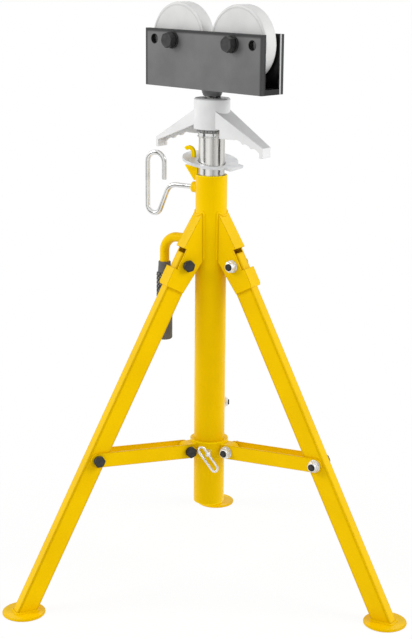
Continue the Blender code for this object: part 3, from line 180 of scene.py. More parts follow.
def eased(name, width, turn=40.0, segments=2):
    """A copy of a node's mesh with its doubles merged and its sharp edges rounded."""
    shape = bmesh.new()
    shape.from_mesh(nodes[name].data)
    bmesh.ops.remove_doubles(shape, verts=shape.verts, dist=0.00001)
    bmesh.ops.dissolve_limit(shape, angle_limit=math.radians(0.6), verts=shape.verts, edges=shape.edges)
    least = math.radians(turn)
    sharp = [edge for edge in shape.edges if edge.is_manifold and edge.calc_face_angle() > least]
    bmesh.ops.bevel(
        shape, geom=sharp, offset=width, segments=segments, profile=0.5, affect="EDGES", material=-1,
        clamp_overlap=True,
    )
    return shape


def finished(name, shape, finish, stands_for=None, rides_with=None, crease=38.0):
    """A shape made a piece: faces out, smooth but for its creases, in its finish and on its body."""
    bmesh.ops.recalc_face_normals(shape, faces=shape.faces)
    mesh = bpy.data.meshes.new(name)
    shape.to_mesh(mesh)
    shape.free()
    mesh.shade_smooth()
    mesh.set_sharp_from_angle(angle=math.radians(crease))
    mesh.materials.append(finish)
    piece = bpy.data.objects.new(name, mesh)
    bpy.context.scene.collection.objects.link(piece)
    level = piece.modifiers.new("level_faces", "WEIGHTED_NORMAL")
    level.keep_sharp = True
    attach(piece, nodes[stands_for or rides_with]["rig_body"])
    if stands_for:
        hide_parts(stands_for)
    return piece


finished("column_painted", eased("column_tube", 0.0006), yellow_coat, "column_tube")

# Leg brackets: 3 mm sheet folded to a channel that straddles the leg's top end, with a
# window above the pivot. Each is welded to the column down both sides and over its top,
# and the rippled bead is coated with the rest.
LEGS = {"left": 210.0, "right": 330.0, "rear": 90.0}
BRACKET_SIDE = 0.0135
BRACKET_TOP = 0.602
BRACKET_WELD_LOW = 0.529
BRACKET_WEB_RADIUS = 0.0205
BRACKET_WEB_FALL = 1.6423
WELD_STEP = 0.00075
WELD_RIPPLE = 0.0024
WELD_SWELL = 0.05
WELD_WANDER = 0.03
WELD_WANDER_TURN = 0.9
WELD_SIDE = BRACKET_SIDE + 0.0004
BRACKET_BEAD = 0.0018


def on_stand(azimuth):
    """The frame of a piece that reaches out from the column at this azimuth."""
    return Matrix.Translation((0.0, AXIS_Y, 0.0)) @ Matrix.Rotation(math.radians(azimuth), 4, "Z")


def moved(shape, matrix):
    """A shape put in its place."""
    bmesh.ops.transform(shape, matrix=matrix, verts=shape.verts)
    return shape


def extended(shape, loop, matrix):
    """An open loop of edges drawn out to its next place; the new loop."""
    drawn = bmesh.ops.extrude_edge_only(shape, edges=loop)["geom"]
    points = {item for item in drawn if isinstance(item, bmesh.types.BMVert)}
    bmesh.ops.transform(shape, matrix=matrix, verts=list(points))
    return [item for item in drawn if isinstance(item, bmesh.types.BMEdge) and points.issuperset(item.verts)]


def swept(points, upright, radii, facets, closed=False):
    """A round skin drawn along points, its section kept square to the path."""
    last = len(points) - 1
    frames = []
    for i, point in enumerate(points):
        before = points[i - 1] if closed or i else point
        after = points[(i + 1) % len(points)] if closed or i < last else point
        along = (after - before).normalized()
        side = along.cross(upright).normalized()
        section = Matrix((side, side.cross(along), along)).transposed().to_4x4()
        frames.append(Matrix.Translation(point) @ section @ Matrix.Scale(radii[i], 4))
    shape = bmesh.new()
    bmesh.ops.create_circle(shape, segments=facets, radius=1.0, matrix=frames[0])
    first = list(shape.edges)
    loop = first
    for before, after in zip(frames, frames[1:]):
        loop = extended(shape, loop, after @ before.inverted())
    if closed:
        bmesh.ops.bridge_loops(shape, edges=first + loop)
    else:
        bmesh.ops.holes_fill(shape, edges=first, sides=0)
        bmesh.ops.holes_fill(shape, edges=loop, sides=0)
    return shape


def paced(points, step, closed=False):
    """The same path walked in equal steps."""
    stops = points + points[:1] if closed else points
    walked = [stops[0]]
    left = step
    for start, end in zip(stops, stops[1:]):
        run = (end - start).length
        done = 0.0
        while run - done >= left:
            done += left
            walked.append(start.lerp(end, done / run))
            left = step
        left -= run - done
    if closed and (walked[-1] - walked[0]).length < step / 2:
        walked.pop()
    return walked


def weld_bead(points, upright, radius, closed=False):
    """A fillet weld along a path, its ripples a few millimetres apart."""
    path = paced(points, WELD_STEP, closed)
    radii = []
    for i in range(len(path)):
        swell = WELD_SWELL * math.cos(math.tau * i * WELD_STEP / WELD_RIPPLE)
        swell += WELD_WANDER * math.sin(i * WELD_WANDER_TURN)
        radii.append(radius * (1.0 + swell))
    return swept(path, upright, radii, 8, closed)


def on_column(side, height, lift=0.0):
    """A point on the column's skin, in a frame that reaches out from it."""
    return Vector((math.sqrt(COLUMN_RADIUS**2 - side**2) + lift, side, height))


def web_height(side):
    """Where the bracket's sloping web meets the column, this far from its middle."""
    fall = (math.sqrt(COLUMN_RADIUS**2 - side**2) - BRACKET_WEB_RADIUS) * BRACKET_WEB_FALL
    return min(BRACKET_TOP, BRACKET_TOP - fall + 0.001)


bracket_line = [on_column(-WELD_SIDE, BRACKET_WELD_LOW)]
for step in range(-10, 11):
    across = WELD_SIDE * step / 10
    bracket_line.append(on_column(across, web_height(across) - 0.0006))
bracket_line.append(on_column(WELD_SIDE, BRACKET_WELD_LOW))
for side, azimuth in LEGS.items():
    bracket = f"leg_bracket_{side}"
    finished(f"{bracket}_painted", eased(bracket, 0.0007), fold_coat, bracket)
    bead = moved(weld_bead(bracket_line, Vector((1, 0, 0)), BRACKET_BEAD), on_stand(azimuth))
    finished(f"{bracket}_weld", bead, weld_coat, rides_with="column_tube")

# Legs and feet: 30 by 20 mm rectangular tube with rounded corners, cut level at the floor
# and welded all round to a flat disc of 4 mm plate. The bead runs close round the tube.
FOOT_TOP = 0.0041
LEG_FOOT_RADIUS = 0.31615
LEG_FOOT_HALF_LENGTH = 0.0171
LEG_FOOT_HALF_WIDTH = 0.0102
LEG_CORNER = 0.0028
FOOT_BEAD = 0.0022

foot_line = []
for quarter in range(4):
    towards_tip = 1 if quarter in (0, 3) else -1
    towards_left = 1 if quarter in (0, 1) else -1
    corner_out = LEG_FOOT_RADIUS + towards_tip * (LEG_FOOT_HALF_LENGTH - LEG_CORNER)
    corner_side = towards_left * (LEG_FOOT_HALF_WIDTH - LEG_CORNER)
    for step in range(5):
        turn = math.radians(90.0 * quarter + 22.5 * step)
        foot_line.append(Vector((
            corner_out + LEG_CORNER * math.cos(turn),
            corner_side + LEG_CORNER * math.sin(turn),
            FOOT_TOP,
        )))
for side, azimuth in LEGS.items():
    leg, foot = f"leg_{side}", f"foot_{side}"
    finished(f"{leg}_painted", eased(leg, 0.0004, 60.0, 1), tube_coat, leg)
    finished(f"{foot}_painted", eased(foot, 0.0004), fold_coat, foot)
    bead = moved(weld_bead(foot_line, Vector((0, 0, 1)), FOOT_BEAD, True), on_stand(azimuth))
    finished(f"{foot}_weld", bead, weld_coat, rides_with=foot)

# Braces and collar: pairs of 3 mm flat bar with round ends, pinned to a ring that slides on
# the column. Bars and ring have their edges broken before coating.
for side in LEGS:
    for edge in ("a", "b"):
        brace = f"brace_{side}_{edge}"
        finished(f"{brace}_painted", eased(brace, 0.0006), fold_coat, brace)
finished("collar_painted", eased("collar", 0.0009), yellow_coat, "collar")

# Pivot bolts: M10 hexagon bolts, black oxide over steel, faintly oiled, with turned washers,
# and zinc plated locking nuts whose round collar holds the thread's end. Heads and nuts keep
# the curved chamfer that the lathe leaves on a hexagon's corners.
CLAMP_HALF = 0.0138
BOLT_RADIUS = 0.005
BOLT_HEX = 0.016
BOLT_FLANGE_RADIUS = 0.0079
BOLT_WASHER_RADIUS = 0.00975
BOLT_WASHER = 0.0015
BOLT_HEAD = 0.0064
BOLT_NUT = 0.0085
BOLT_END = 0.0022
BOLT_THREAD = 0.0015
BRACE_BOLT_END = 0.0033
JOINTS = {
    "pivot": (0.0465, 0.522, 12.0),
    "brace": (0.197490, 0.231949, 4.0),
    "collar": (0.041, 0.2225, 20.0),
}
BLACK = (0.029, 0.029, 0.030)
BLACK_WORN = (0.062, 0.061, 0.060)
BLACK_EDGE_SHADE = (0.003, 0.003, 0.003)
ZINC = (0.80, 0.80, 0.79)
ZINC_WHITE = (0.88, 0.88, 0.87)
ZINC_DULL = (0.55, 0.55, 0.53)

black_oxide = new_finish("black_oxide_steel", 0.38, 0.0)
black_oxide.node_tree.nodes["Principled BSDF"].inputs["Specular IOR Level"].default_value = 0.22
# The black is painted darker still along the edges: painted shade.
dressed(
    black_oxide,
    tinted(
        black_oxide,
        edge_mask(black_oxide, 0.0022, 0.95, 0.86, 0.985),
        mottled(black_oxide, 160.0, 3.0, 0.5, BLACK, BLACK_WORN),
        BLACK_EDGE_SHADE,
    ),
    spread(black_oxide, grain(black_oxide, 300.0), 0.28, 0.5),
    grain(black_oxide, 900.0),
    0.12,
)
bright_zinc = new_finish("bright_zinc_plate", 0.35, 0.8)
dressed(
    bright_zinc,
    mottled(bright_zinc, 75.0, 4.0, 0.6, ZINC_WHITE, ZINC_DULL),
    spread(bright_zinc, grain(bright_zinc, 190.0, 3.0), 0.28, 0.45),
    grain(bright_zinc, 800.0),
    0.06,
)
polished_zinc = new_finish("polished_zinc_plate", 0.1, 1.0)
dressed(
    polished_zinc,
    mottled(polished_zinc, 50.0, 3.0, 0.5, ZINC, ZINC_DULL),
    spread(polished_zinc, grain(polished_zinc, 120.0, 3.0), 0.15, 0.27),
    grain(polished_zinc, 500.0),
    0.04,
)


def turned(profile, steps=48):
    """A closed profile of radius and height pairs, turned on the lathe."""
    shape = bmesh.new()
    points = [shape.verts.new((radius, 0.0, height)) for radius, height in profile]
    sides = [shape.edges.new((points[i - 1], points[i])) for i in range(len(points))]
    bmesh.ops.spin(
        shape, geom=points + sides, cent=(0, 0, 0), axis=(0, 0, 1), angle=math.tau, steps=steps,
        use_merge=True,
    )
    bmesh.ops.remove_doubles(shape, verts=shape.verts, dist=0.000001)
    return shape


def together(*shapes):
    """Several shapes in one mesh."""
    whole = bmesh.new()
    for shape in shapes:
        part = bpy.data.meshes.new("part")
        shape.to_mesh(part)
        shape.free()
        whole.from_mesh(part)
        bpy.data.meshes.remove(part)
    return whole


def washer(bore, radius, low, high):
    """A turned washer with soft rims."""
    soft = (high - low) / 5
    return turned([
        (bore, low), (radius - soft, low), (radius, low + soft), (radius, high - soft),
        (radius - soft, high), (bore, high),
    ])


def hexagon(across_flats, low, high, bore=0.0):
    """A hexagon block, both ends chamfered at 30 degrees to a round face."""
    face = across_flats * 0.475
    shape = bmesh.new()
    bmesh.ops.create_circle(shape, segments=60, radius=1.0)
    loop = list(shape.edges)
    rows = []
    stages = [("face", low, 0), ("flats", low, 1), ("flats", high, -1), ("face", high, 0)]
    stages.append(("inner", high - (0.0 if bore else 0.0004), 0))
    if bore:
        stages.append(("inner", low, 0))
    for part, height, fall in stages:
        if rows:
            loop = extended(shape, loop, Matrix())
        for point in {vert for edge in loop for vert in edge.verts}:
            turn = math.atan2(point.co.y, point.co.x)
            corner = across_flats / 2 / math.cos(turn % (math.pi / 3) - math.pi / 6)
            reach = {"face": face, "flats": corner, "inner": bore or face * 0.8}[part]
            drop = max(0.0, reach - face) * math.tan(math.radians(30.0)) * fall
            point.co = (reach * math.cos(turn), reach * math.sin(turn), height + drop)
        rows.append(loop)
    if bore:
        bmesh.ops.bridge_loops(shape, edges=rows[0] + rows[-1])
    else:
        bmesh.ops.holes_fill(shape, edges=rows[0], sides=0)
        bmesh.ops.holes_fill(shape, edges=rows[-1], sides=0)
    return shape


def thread_rod(radius, low, high, pitch, plain_to):
    """A rod cut with a vee thread from its low end up to plain_to, its tip chamfered."""
    depth = pitch * 0.45
    profile = [(0.0, low), (radius - depth * 1.6, low), (radius - depth / 2, low + depth)]
    turns = int((plain_to - low - depth) / pitch)
    for i in range(turns):
        start = low + depth + i * pitch
        profile.append((radius - depth, start + pitch * 0.2))
        profile += [(radius, start + pitch * 0.6), (radius, start + pitch * 0.8)]
    profile += [(radius, plain_to), (radius, high), (0.0, high)]
    return turned(profile, 32)


def bolt(radius, across_flats, washer_radius, washer_height, head, clamp, beyond, pitch):
    """A washer, a hexagon head and a threaded shank, the washer's seat at nought."""
    return together(
        washer(radius * 1.03, washer_radius, 0.0, washer_height),
        hexagon(across_flats, washer_height, washer_height + head),
        thread_rod(radius, -clamp - beyond, washer_height + head / 2, pitch, -clamp + pitch),
    )


def lock_nut(radius, across_flats, washer_radius, washer_height, height):
    """A washer and a nut with a rounded locking collar, the washer's seat at nought."""
    bore = radius * 1.04
    neck = washer_height + height * 0.64
    top = washer_height + height
    rim = across_flats * 0.46
    soft = height * 0.12
    collar = [
        (bore, neck - soft), (rim, neck - soft), (rim, top - soft * 1.6),
        (rim - soft * 0.5, top - soft * 0.5), (rim - soft * 1.5, top), (bore + soft * 0.6, top),
        (bore + soft * 0.2, top - soft * 0.3), (bore, top - soft),
    ]
    return together(
        washer(bore, washer_radius, 0.0, washer_height),
        hexagon(across_flats, washer_height, neck, bore),
        turned(collar),
    )


def facing(frame_matrix, radial, side, height, towards):
    """A seat on a piece's side, its outward direction along the frame's side axis, plus or minus."""
    return frame_matrix @ Matrix.Translation((radial, side * towards, height)) @ Matrix.Rotation(
        -towards * math.pi / 2, 4, "X"
    )


tail = BOLT_WASHER + BOLT_NUT + BOLT_END
for side, azimuth in LEGS.items():
    for joint, (radial, height, degrees) in JOINTS.items():
        head_seat = facing(on_stand(azimuth), radial, CLAMP_HALF, height, 1)
        nut_seat = facing(on_stand(azimuth), radial, CLAMP_HALF, height, -1)
        turn = Matrix.Rotation(math.radians(degrees), 4, "Z")
        clamp, beyond = 2 * CLAMP_HALF, tail
        if joint == "brace":
            clamp, beyond = 0.0, BRACE_BOLT_END
            stub = thread_rod(BOLT_RADIUS, -tail, 0.0, BOLT_THREAD, -BOLT_THREAD)
            finished(f"brace_bolt_end_{side}", moved(stub, nut_seat @ Matrix.Rotation(math.pi, 4, "X")),
                     black_oxide, rides_with=f"brace_nut_{side}")
        made = bolt(
            BOLT_RADIUS, BOLT_HEX, BOLT_FLANGE_RADIUS, BOLT_WASHER, BOLT_HEAD, clamp, beyond, BOLT_THREAD,
        )
        finished(f"{joint}_bolt_black_{side}", moved(made, head_seat @ turn), black_oxide,
                 f"{joint}_bolt_{side}")
        nut = lock_nut(BOLT_RADIUS, BOLT_HEX, BOLT_WASHER_RADIUS, BOLT_WASHER, BOLT_NUT)
        finished(f"{joint}_nut_plated_{side}", moved(nut, nut_seat @ turn), bright_zinc,
                 f"{joint}_nut_{side}")

# Collar lock pin and its pull ring: a plated steel plunger with a round end, and a long ring
# bent from 3.8 mm spring wire through the plunger's cross hole. It hangs a little twisted.
COLLAR_HEIGHT = 0.2225
RING_EYE = 0.0415
RING_WIRE = 0.0019
RING_HALF = 0.0176
RING_END = 0.0052
RING_TOP = 0.016
RING_LEAN = math.radians(35.0)
RING_SWING = math.radians(35.0)

ring_along = Vector((0.0, math.sin(RING_LEAN), -math.cos(RING_LEAN)))
ring_across = Vector((math.sin(RING_SWING), 0.0, 0.0))
ring_across += Vector((0.0, -math.cos(RING_LEAN), -math.sin(RING_LEAN))) * math.cos(RING_SWING)
ring_middle = Vector((RING_EYE, 0.0, COLLAR_HEIGHT)) + ring_across * RING_END
ring_middle += ring_along * (RING_HALF + RING_END - RING_TOP)
ring_path = []
for end, start in ((1, -90.0), (-1, 90.0)):
    for step in range(17):
        turn = math.radians(start + 11.25 * step)
        along = end * RING_HALF + RING_END * math.cos(turn)
        ring_path.append(ring_middle + ring_along * along + ring_across * RING_END * math.sin(turn))
wire_ring = swept(ring_path, ring_along.cross(ring_across), [RING_WIRE] * len(ring_path), 16, True)
finished("pull_ring_wire", moved(wire_ring, on_stand(270.0)), polished_zinc, "pull_ring")
finished("lock_pin_plated", eased("lock_pin", 0.0002), bright_zinc, "lock_pin")

# Mast: a 40 mm precision steel tube, zinc plated and drawn bright, so fine lines run down it
# and the plating lies in slightly warm and cool bands. The row of pin holes is punched.
MAST_TOP = 0.7217
MAST_BRIGHT = (0.82, 0.81, 0.78)
MAST_DARK = (0.36, 0.35, 0.33)

drawn_zinc = new_finish("drawn_zinc_plate", 0.24, 1.0)
drawn_bands = spread(drawn_zinc, grain(drawn_zinc, 110.0, 3.0, (1.0, 1.0, 0.012)), 0.0, 0.8)
dressed(
    drawn_zinc,
    tinted(drawn_zinc, drawn_bands, MAST_BRIGHT, MAST_DARK),
    spread(drawn_zinc, grain(drawn_zinc, 300.0, 2.0, (1.0, 1.0, 0.05)), 0.16, 0.34),
    grain(drawn_zinc, 1400.0, 1.0, (1.0, 1.0, 0.01)),
    0.05,
)
finished("mast_plated", eased("inner_tube", 0.0004), drawn_zinc, "inner_tube")

# Thrust washer: a plated ring under the jack nut, its rim notched like a lock washer's and its
# face turned away to a shoulder. A rolled lip finishes the mast's top end below it.
WASHER_LOW = 0.7220
WASHER_HIGH = 0.7267
WASHER_BORE = 0.0135
WASHER_REACH = 0.0230
WASHER_ROOT = 0.0212
WASHER_NOTCHES = 18
WASHER_SHOULDER = WASHER_HIGH - 0.0019
WASHER_STEEL = (0.42, 0.42, 0.41)
WASHER_STEEL_DARK = (0.2, 0.2, 0.2)
LIP_HEIGHT = 0.0078
LIP_REACH = 0.0220
LIP_BORE = 0.0199

notched = bmesh.new()
bmesh.ops.create_circle(notched, segments=WASHER_NOTCHES * 6, radius=1.0)
rows = [list(notched.edges)]
washer_stages = [
    ("notched", WASHER_LOW), ("notched", WASHER_SHOULDER), ("shoulder", WASHER_SHOULDER),
    ("shoulder", WASHER_HIGH), ("bore", WASHER_HIGH), ("bore", WASHER_LOW),
]
for number, (part, height) in enumerate(washer_stages):
    if number:
        rows.append(extended(notched, rows[-1], Matrix()))
    for point in {vert for edge in rows[-1] for vert in edge.verts}:
        turn = math.atan2(point.co.y, point.co.x)
        place = math.degrees(turn) * WASHER_NOTCHES / 360.0 % 1.0
        rim = WASHER_REACH if 0.2 < place < 0.8 else WASHER_ROOT
        reach = {"notched": rim, "shoulder": WASHER_ROOT - 0.0006, "bore": WASHER_BORE}[part]
        point.co = (reach * math.cos(turn), reach * math.sin(turn), height)
bmesh.ops.bridge_loops(notched, edges=rows[0] + rows[-1])
ring_steel = new_finish("hardened_ring_steel", 0.3, 1.0)
dressed(
    ring_steel,
    mottled(ring_steel, 150.0, 3.0, 0.8, WASHER_STEEL, WASHER_STEEL_DARK),
    spread(ring_steel, grain(ring_steel, 190.0, 3.0), 0.22, 0.4),
    grain(ring_steel, 800.0),
    0.06,
)
finished("thrust_washer_notched", moved(notched, on_stand(0.0)), ring_steel, "thrust_washer")
lip_foot = MAST_TOP - LIP_HEIGHT
lip = turned([
    (LIP_BORE, lip_foot), (LIP_REACH - 0.0006, lip_foot), (LIP_REACH, lip_foot + 0.0006),
    (LIP_REACH, lip_foot + 0.0016), (LIP_REACH - 0.0009, lip_foot + 0.0026),
    (LIP_REACH - 0.0009, MAST_TOP - 0.0009), (LIP_REACH - 0.0016, MAST_TOP - 0.0001),
    (LIP_BORE, MAST_TOP - 0.0001),
], 64)
finished("mast_top_lip", moved(lip, on_stand(0.0)), polished_zinc, rides_with="inner_tube")

# Height pin and its boss: an 8 mm rod bent cold into a long hand loop and bright plated, in a
# short sleeve welded to the column.
PIN_HEIGHT = 0.635
PIN_RADIUS = 0.004
PIN_START = 0.0205
PIN_SHOULDER = 0.0766
PIN_SLOPE = 0.0203
PIN_OUTER = 0.118
PIN_INNER = 0.0865
PIN_LOW = 0.048
PIN_HIGH = 0.0475
PIN_END = 0.006
PIN_BENDS = (0.018, 0.0125, 0.0125, 0.0155, 0.0155)
PIN_DOME = 0.0012
BOSS_RADIUS = 0.0085
BOSS_BEAD = 0.0017
back_left = on_stand(150.0)


def bent(corners, radii, step=6.0):
    """A path through corners, each inner corner rounded to its bend radius."""
    path = [corners[0]]
    for before, corner, after, radius in zip(corners, corners[1:], corners[2:], radii):
        arrive = (corner - before).normalized()
        leave = (after - corner).normalized()
        bend = arrive.angle(leave)
        start = corner - arrive * radius * math.tan(bend / 2)
        inward = (leave - arrive * arrive.dot(leave)).normalized()
        steps = max(2, round(math.degrees(bend) / step))
        for i in range(steps + 1):
            turn = bend * i / steps
            around = arrive * math.sin(turn) - inward * math.cos(turn)
            path.append(start + inward * radius + radius * around)
    return path + [corners[-1]]


def round_ended(path, radius, dome):
    """A path and its radii with both ends drawn in to a small dome."""
    start = (path[1] - path[0]).normalized()
    end = (path[-1] - path[-2]).normalized()
    points = [path[0], path[0] + start * dome * 0.3, path[0] + start * dome] + path[1:-1]
    points += [path[-1] - end * dome, path[-1] - end * dome * 0.3, path[-1]]
    drawn_in = [radius - dome, radius - dome * 0.3]
    return points, drawn_in + [radius] * (len(points) - 4) + drawn_in[::-1]


pin_corners = [
    Vector((PIN_START, 0, 0)),
    Vector((PIN_SHOULDER, 0, 0)),
    Vector((PIN_SHOULDER + PIN_SLOPE, 0, -PIN_LOW)),
    Vector((PIN_OUTER, 0, -PIN_LOW)),
    Vector((PIN_OUTER, 0, PIN_HIGH)),
    Vector((PIN_INNER, 0, PIN_HIGH)),
    Vector((PIN_INNER, 0, PIN_END)),
]
pin_path, pin_radii = round_ended(bent(pin_corners, PIN_BENDS), PIN_RADIUS, PIN_DOME)
pin_place = back_left @ Matrix.Translation((0, 0, PIN_HEIGHT))
pin = swept(pin_path, Vector((0, 1, 0)), pin_radii, 24)
finished("height_pin_plated", moved(pin, pin_place), polished_zinc, "height_pin")


def ring_on_column(radius, height):
    """A closed path where a round bar of this radius meets the column."""
    turns = [math.tau * i / 32 for i in range(32)]
    return [on_column(radius * math.cos(turn), height + radius * math.sin(turn), 0.0002) for turn in turns]


finished("height_pin_boss_painted", eased("height_pin_boss", 0.0006), yellow_coat,
         "height_pin_boss")
bead = weld_bead(ring_on_column(BOSS_RADIUS + 0.0006, PIN_HEIGHT), Vector((1, 0, 0)), BOSS_BEAD, True)
finished("height_pin_boss_weld", moved(bead, back_left), weld_coat,
         rides_with="height_pin_boss")

# Jam plate and its hook: a loose plate that grips the mast when it tilts, sheared from 4.5 mm
# plate and zinc plated, held by a flame-cut hook that is welded to the column on edge.
HOOK_HALF = 0.0025
HOOK_WELD = (0.6465, 0.6560)
HOOK_BEAD = 0.0016
SATIN = (0.72, 0.725, 0.735)
SATIN_DULL = (0.56, 0.565, 0.575)

satin_zinc = new_finish("satin_zinc_plate", 0.5, 0.6)
dressed(
    satin_zinc,
    mottled(satin_zinc, 60.0, 4.0, 0.5, SATIN, SATIN_DULL),
    spread(satin_zinc, grain(satin_zinc, 160.0, 3.0), 0.42, 0.6),
    grain(satin_zinc, 600.0),
    0.08,
)
finished("jam_plate_plated", eased("jam_plate", 0.0005), satin_zinc, "jam_plate")
finished("latch_hook_painted", eased("latch_hook", 0.0009), yellow_coat, "latch_hook")
for label, towards in (("near", 1), ("far", -1)):
    line = [on_column(towards * (HOOK_HALF + 0.0004), height, 0.0003) for height in HOOK_WELD]
    bead = moved(weld_bead(line, Vector((1, 0, 0)), HOOK_BEAD), back_left)
    finished(f"latch_hook_weld_{label}", bead, weld_coat, rides_with="latch_hook")

# Carry handle and grip: a 15 mm rod bent once and welded square to the column, with a
# moulded rubber grip pushed on. The grip swells from a slim mouth to a full body, and rows
# of small round studs are moulded round its middle.
HANDLE_RADIUS = 0.0075
HANDLE_HEIGHT = 0.553
HANDLE_REACH = 0.086
HANDLE_BEND = 0.024
HANDLE_END = 0.392
HANDLE_BEAD = 0.002
GRIP_TOP = 0.512
GRIP_LOW = 0.386
GRIP_MOUTH_RADIUS = 0.00975
GRIP_RADIUS = 0.0125
GRIP_TAPER = 0.045
GRIP_ROUND = 0.003
STUD_RADIUS = 0.0015
STUD_SUNK = 0.0009
STUD_ROWS = 22
STUD_COLUMNS = 12
STUD_PITCH = 0.0066
STUD_LOW = 0.4235
STUD_HIGH = STUD_LOW + (STUD_ROWS - 1) * STUD_PITCH / 2
RUBBER = (0.085, 0.085, 0.088)
RUBBER_DUSTY = (0.14, 0.14, 0.14)
# Painted shade among the studs, and paler stud tones as a painted highlight on their tops.
RUBBER_SHADE_AMONG_STUDS = (0.004, 0.004, 0.004)
STUD_PALE = (0.26, 0.26, 0.26)
STUD_SHADE = (0.12, 0.12, 0.12)

handle_corners = [
    Vector((COLUMN_RADIUS - 0.0015, 0, HANDLE_HEIGHT)),
    Vector((HANDLE_REACH, 0, HANDLE_HEIGHT)),
    Vector((HANDLE_REACH, 0, HANDLE_END)),
]
handle_path = bent(handle_corners, (HANDLE_BEND,))
rod = swept(handle_path, Vector((0, 1, 0)), [HANDLE_RADIUS] * len(handle_path), 36)
finished("carry_handle_painted", moved(rod, back_left), yellow_coat, "carry_handle")
bead = weld_bead(ring_on_column(HANDLE_RADIUS + 0.0008, HANDLE_HEIGHT), Vector((1, 0, 0)), HANDLE_BEAD, True)
finished("carry_handle_weld", moved(bead, back_left), weld_coat, rides_with="carry_handle")


def upward(material, reading):
    """How high a point lies, read from Object, or how far its face looks up, read from Normal."""
    tree = material.node_tree
    place = tree.nodes.new("ShaderNodeTexCoord")
    parts = tree.nodes.new("ShaderNodeSeparateXYZ")
    tree.links.new(place.outputs[reading], parts.inputs["Vector"])
    return parts.outputs["Z"]


def both_of(material, first, second):
    """The lesser of two patterns, so that both have to be there."""
    node = material.node_tree.nodes.new("ShaderNodeMath")
    node.operation = "MINIMUM"
    material.node_tree.links.new(first, node.inputs[0])
    material.node_tree.links.new(second, node.inputs[1])
    return node.outputs[0]


grip_rubber = new_finish("moulded_rubber", 0.62, 0.0)
grip_tone = mottled(grip_rubber, 45.0, 3.0, 0.6, RUBBER, RUBBER_DUSTY)
grip_height = upward(grip_rubber, "Object")
# Painted shade: the rubber among the studs is painted near black.
among_studs = both_of(
    grip_rubber,
    spread(grip_rubber, grip_height, 0.0, 0.95, STUD_LOW - 0.006, STUD_LOW - 0.002),
    spread(grip_rubber, grip_height, 0.95, 0.0, STUD_HIGH + 0.001, STUD_HIGH + 0.003),
)
dressed(
    grip_rubber,
    tinted(grip_rubber, among_studs, grip_tone, RUBBER_SHADE_AMONG_STUDS),
    spread(grip_rubber, grain(grip_rubber, 200.0), 0.5, 0.75),
    grain(grip_rubber, 1200.0),
    0.2,
)
grip_profile = [(0.0, GRIP_LOW), (GRIP_RADIUS - GRIP_ROUND, GRIP_LOW)]
for step in range(1, 6):
    turn = math.radians(18.0 * step)
    radius = GRIP_RADIUS - GRIP_ROUND + GRIP_ROUND * math.sin(turn)
    grip_profile.append((radius, GRIP_LOW + GRIP_ROUND - GRIP_ROUND * math.cos(turn)))
for step in range(13):
    share = step / 12
    ease = share * share * (3 - 2 * share)
    radius = GRIP_RADIUS - (GRIP_RADIUS - GRIP_MOUTH_RADIUS) * ease
    grip_profile.append((radius, GRIP_TOP - GRIP_TAPER + (GRIP_TAPER - 0.001) * share))
grip_profile += [
    (GRIP_MOUTH_RADIUS - 0.0008, GRIP_TOP), (HANDLE_RADIUS + 0.0003, GRIP_TOP),
    (HANDLE_RADIUS + 0.0003, HANDLE_END - 0.0003), (0.0, HANDLE_END - 0.0003),
]
stud_shapes = []
for row in range(STUD_ROWS):
    for column in range(STUD_COLUMNS):
        turn = math.tau * (column + 0.5 * (row % 2)) / STUD_COLUMNS
        height = STUD_LOW + row * STUD_PITCH / 2
        place = Vector((math.cos(turn), math.sin(turn), 0.0)) * (GRIP_RADIUS - STUD_SUNK)
        stud = bmesh.new()
        bmesh.ops.create_uvsphere(stud, u_segments=8, v_segments=5, radius=STUD_RADIUS)
        bmesh.ops.translate(stud, vec=place + Vector((0, 0, height)), verts=stud.verts)
        stud_shapes.append(stud)
grip_place = back_left @ Matrix.Translation((HANDLE_REACH, 0, 0))
grip = moved(turned(grip_profile), grip_place)
finished("grip_moulded", grip, grip_rubber, "handle_grip")
# The studs are painted paler than the grip's rubber: a painted highlight on their tops.
stud_rubber = new_finish("stud_rubber", 0.5, 0.0)
dressed(
    stud_rubber,
    mottled(stud_rubber, 90.0, 2.0, 0.8, STUD_PALE, STUD_SHADE),
    spread(stud_rubber, grain(stud_rubber, 200.0), 0.4, 0.6),
    grain(stud_rubber, 1200.0),
    0.1,
)
finished("grip_studs", moved(together(*stud_shapes), grip_place), stud_rubber,
         rides_with="handle_grip")

# Jack nut: an iron casting with a round hub and two drooping channel-shaped wings, scalloped
# underneath for the fingers. It is sprayed pale grey over the sand-cast skin, and the faces that
# look up are painted darker: painted shade.
CAST = (0.74, 0.74, 0.74)
CAST_SHADE = (0.62, 0.62, 0.625)
CAST_TOP_SHADE = (0.44, 0.44, 0.445)

cast_paint = new_finish("grey_sprayed_casting", 0.45, 0.0)
cast_tone = mottled(cast_paint, 26.0, 5.0, 0.6, CAST, CAST_SHADE)
# Painted shade: faces that look up are painted darker.
top_shade = spread(cast_paint, upward(cast_paint, "Normal"), 0.0, 0.85, 0.35, 0.8)
dressed(
    cast_paint,
    tinted(cast_paint, top_shade, cast_tone, CAST_TOP_SHADE),
    spread(cast_paint, grain(cast_paint, 90.0, 3.0), 0.38, 0.55),
    grain(cast_paint, 420.0, 3.0),
    0.35,
    0.0004,
)
finished("jack_nut_cast", eased("handle_nut", 0.0014, 35.0, 3), cast_paint, "handle_nut")

# Jack screw: a 26 mm steel bar cut with a trapezoidal thread of 5 mm pitch, plated and packed
# with grease that has gone black, its top turned down to the stud that carries the roller head.
SCREW_RADIUS = 0.013
SCREW_CORE = 0.0103
SCREW_TOP = 0.7757
SCREW_LENGTH = 0.210
SCREW_PITCH = 0.005
STUD_TOP = 0.7978
STUD_NECK = 0.009
THREAD_STEPS = 32
GREASE = (0.012, 0.011, 0.010)

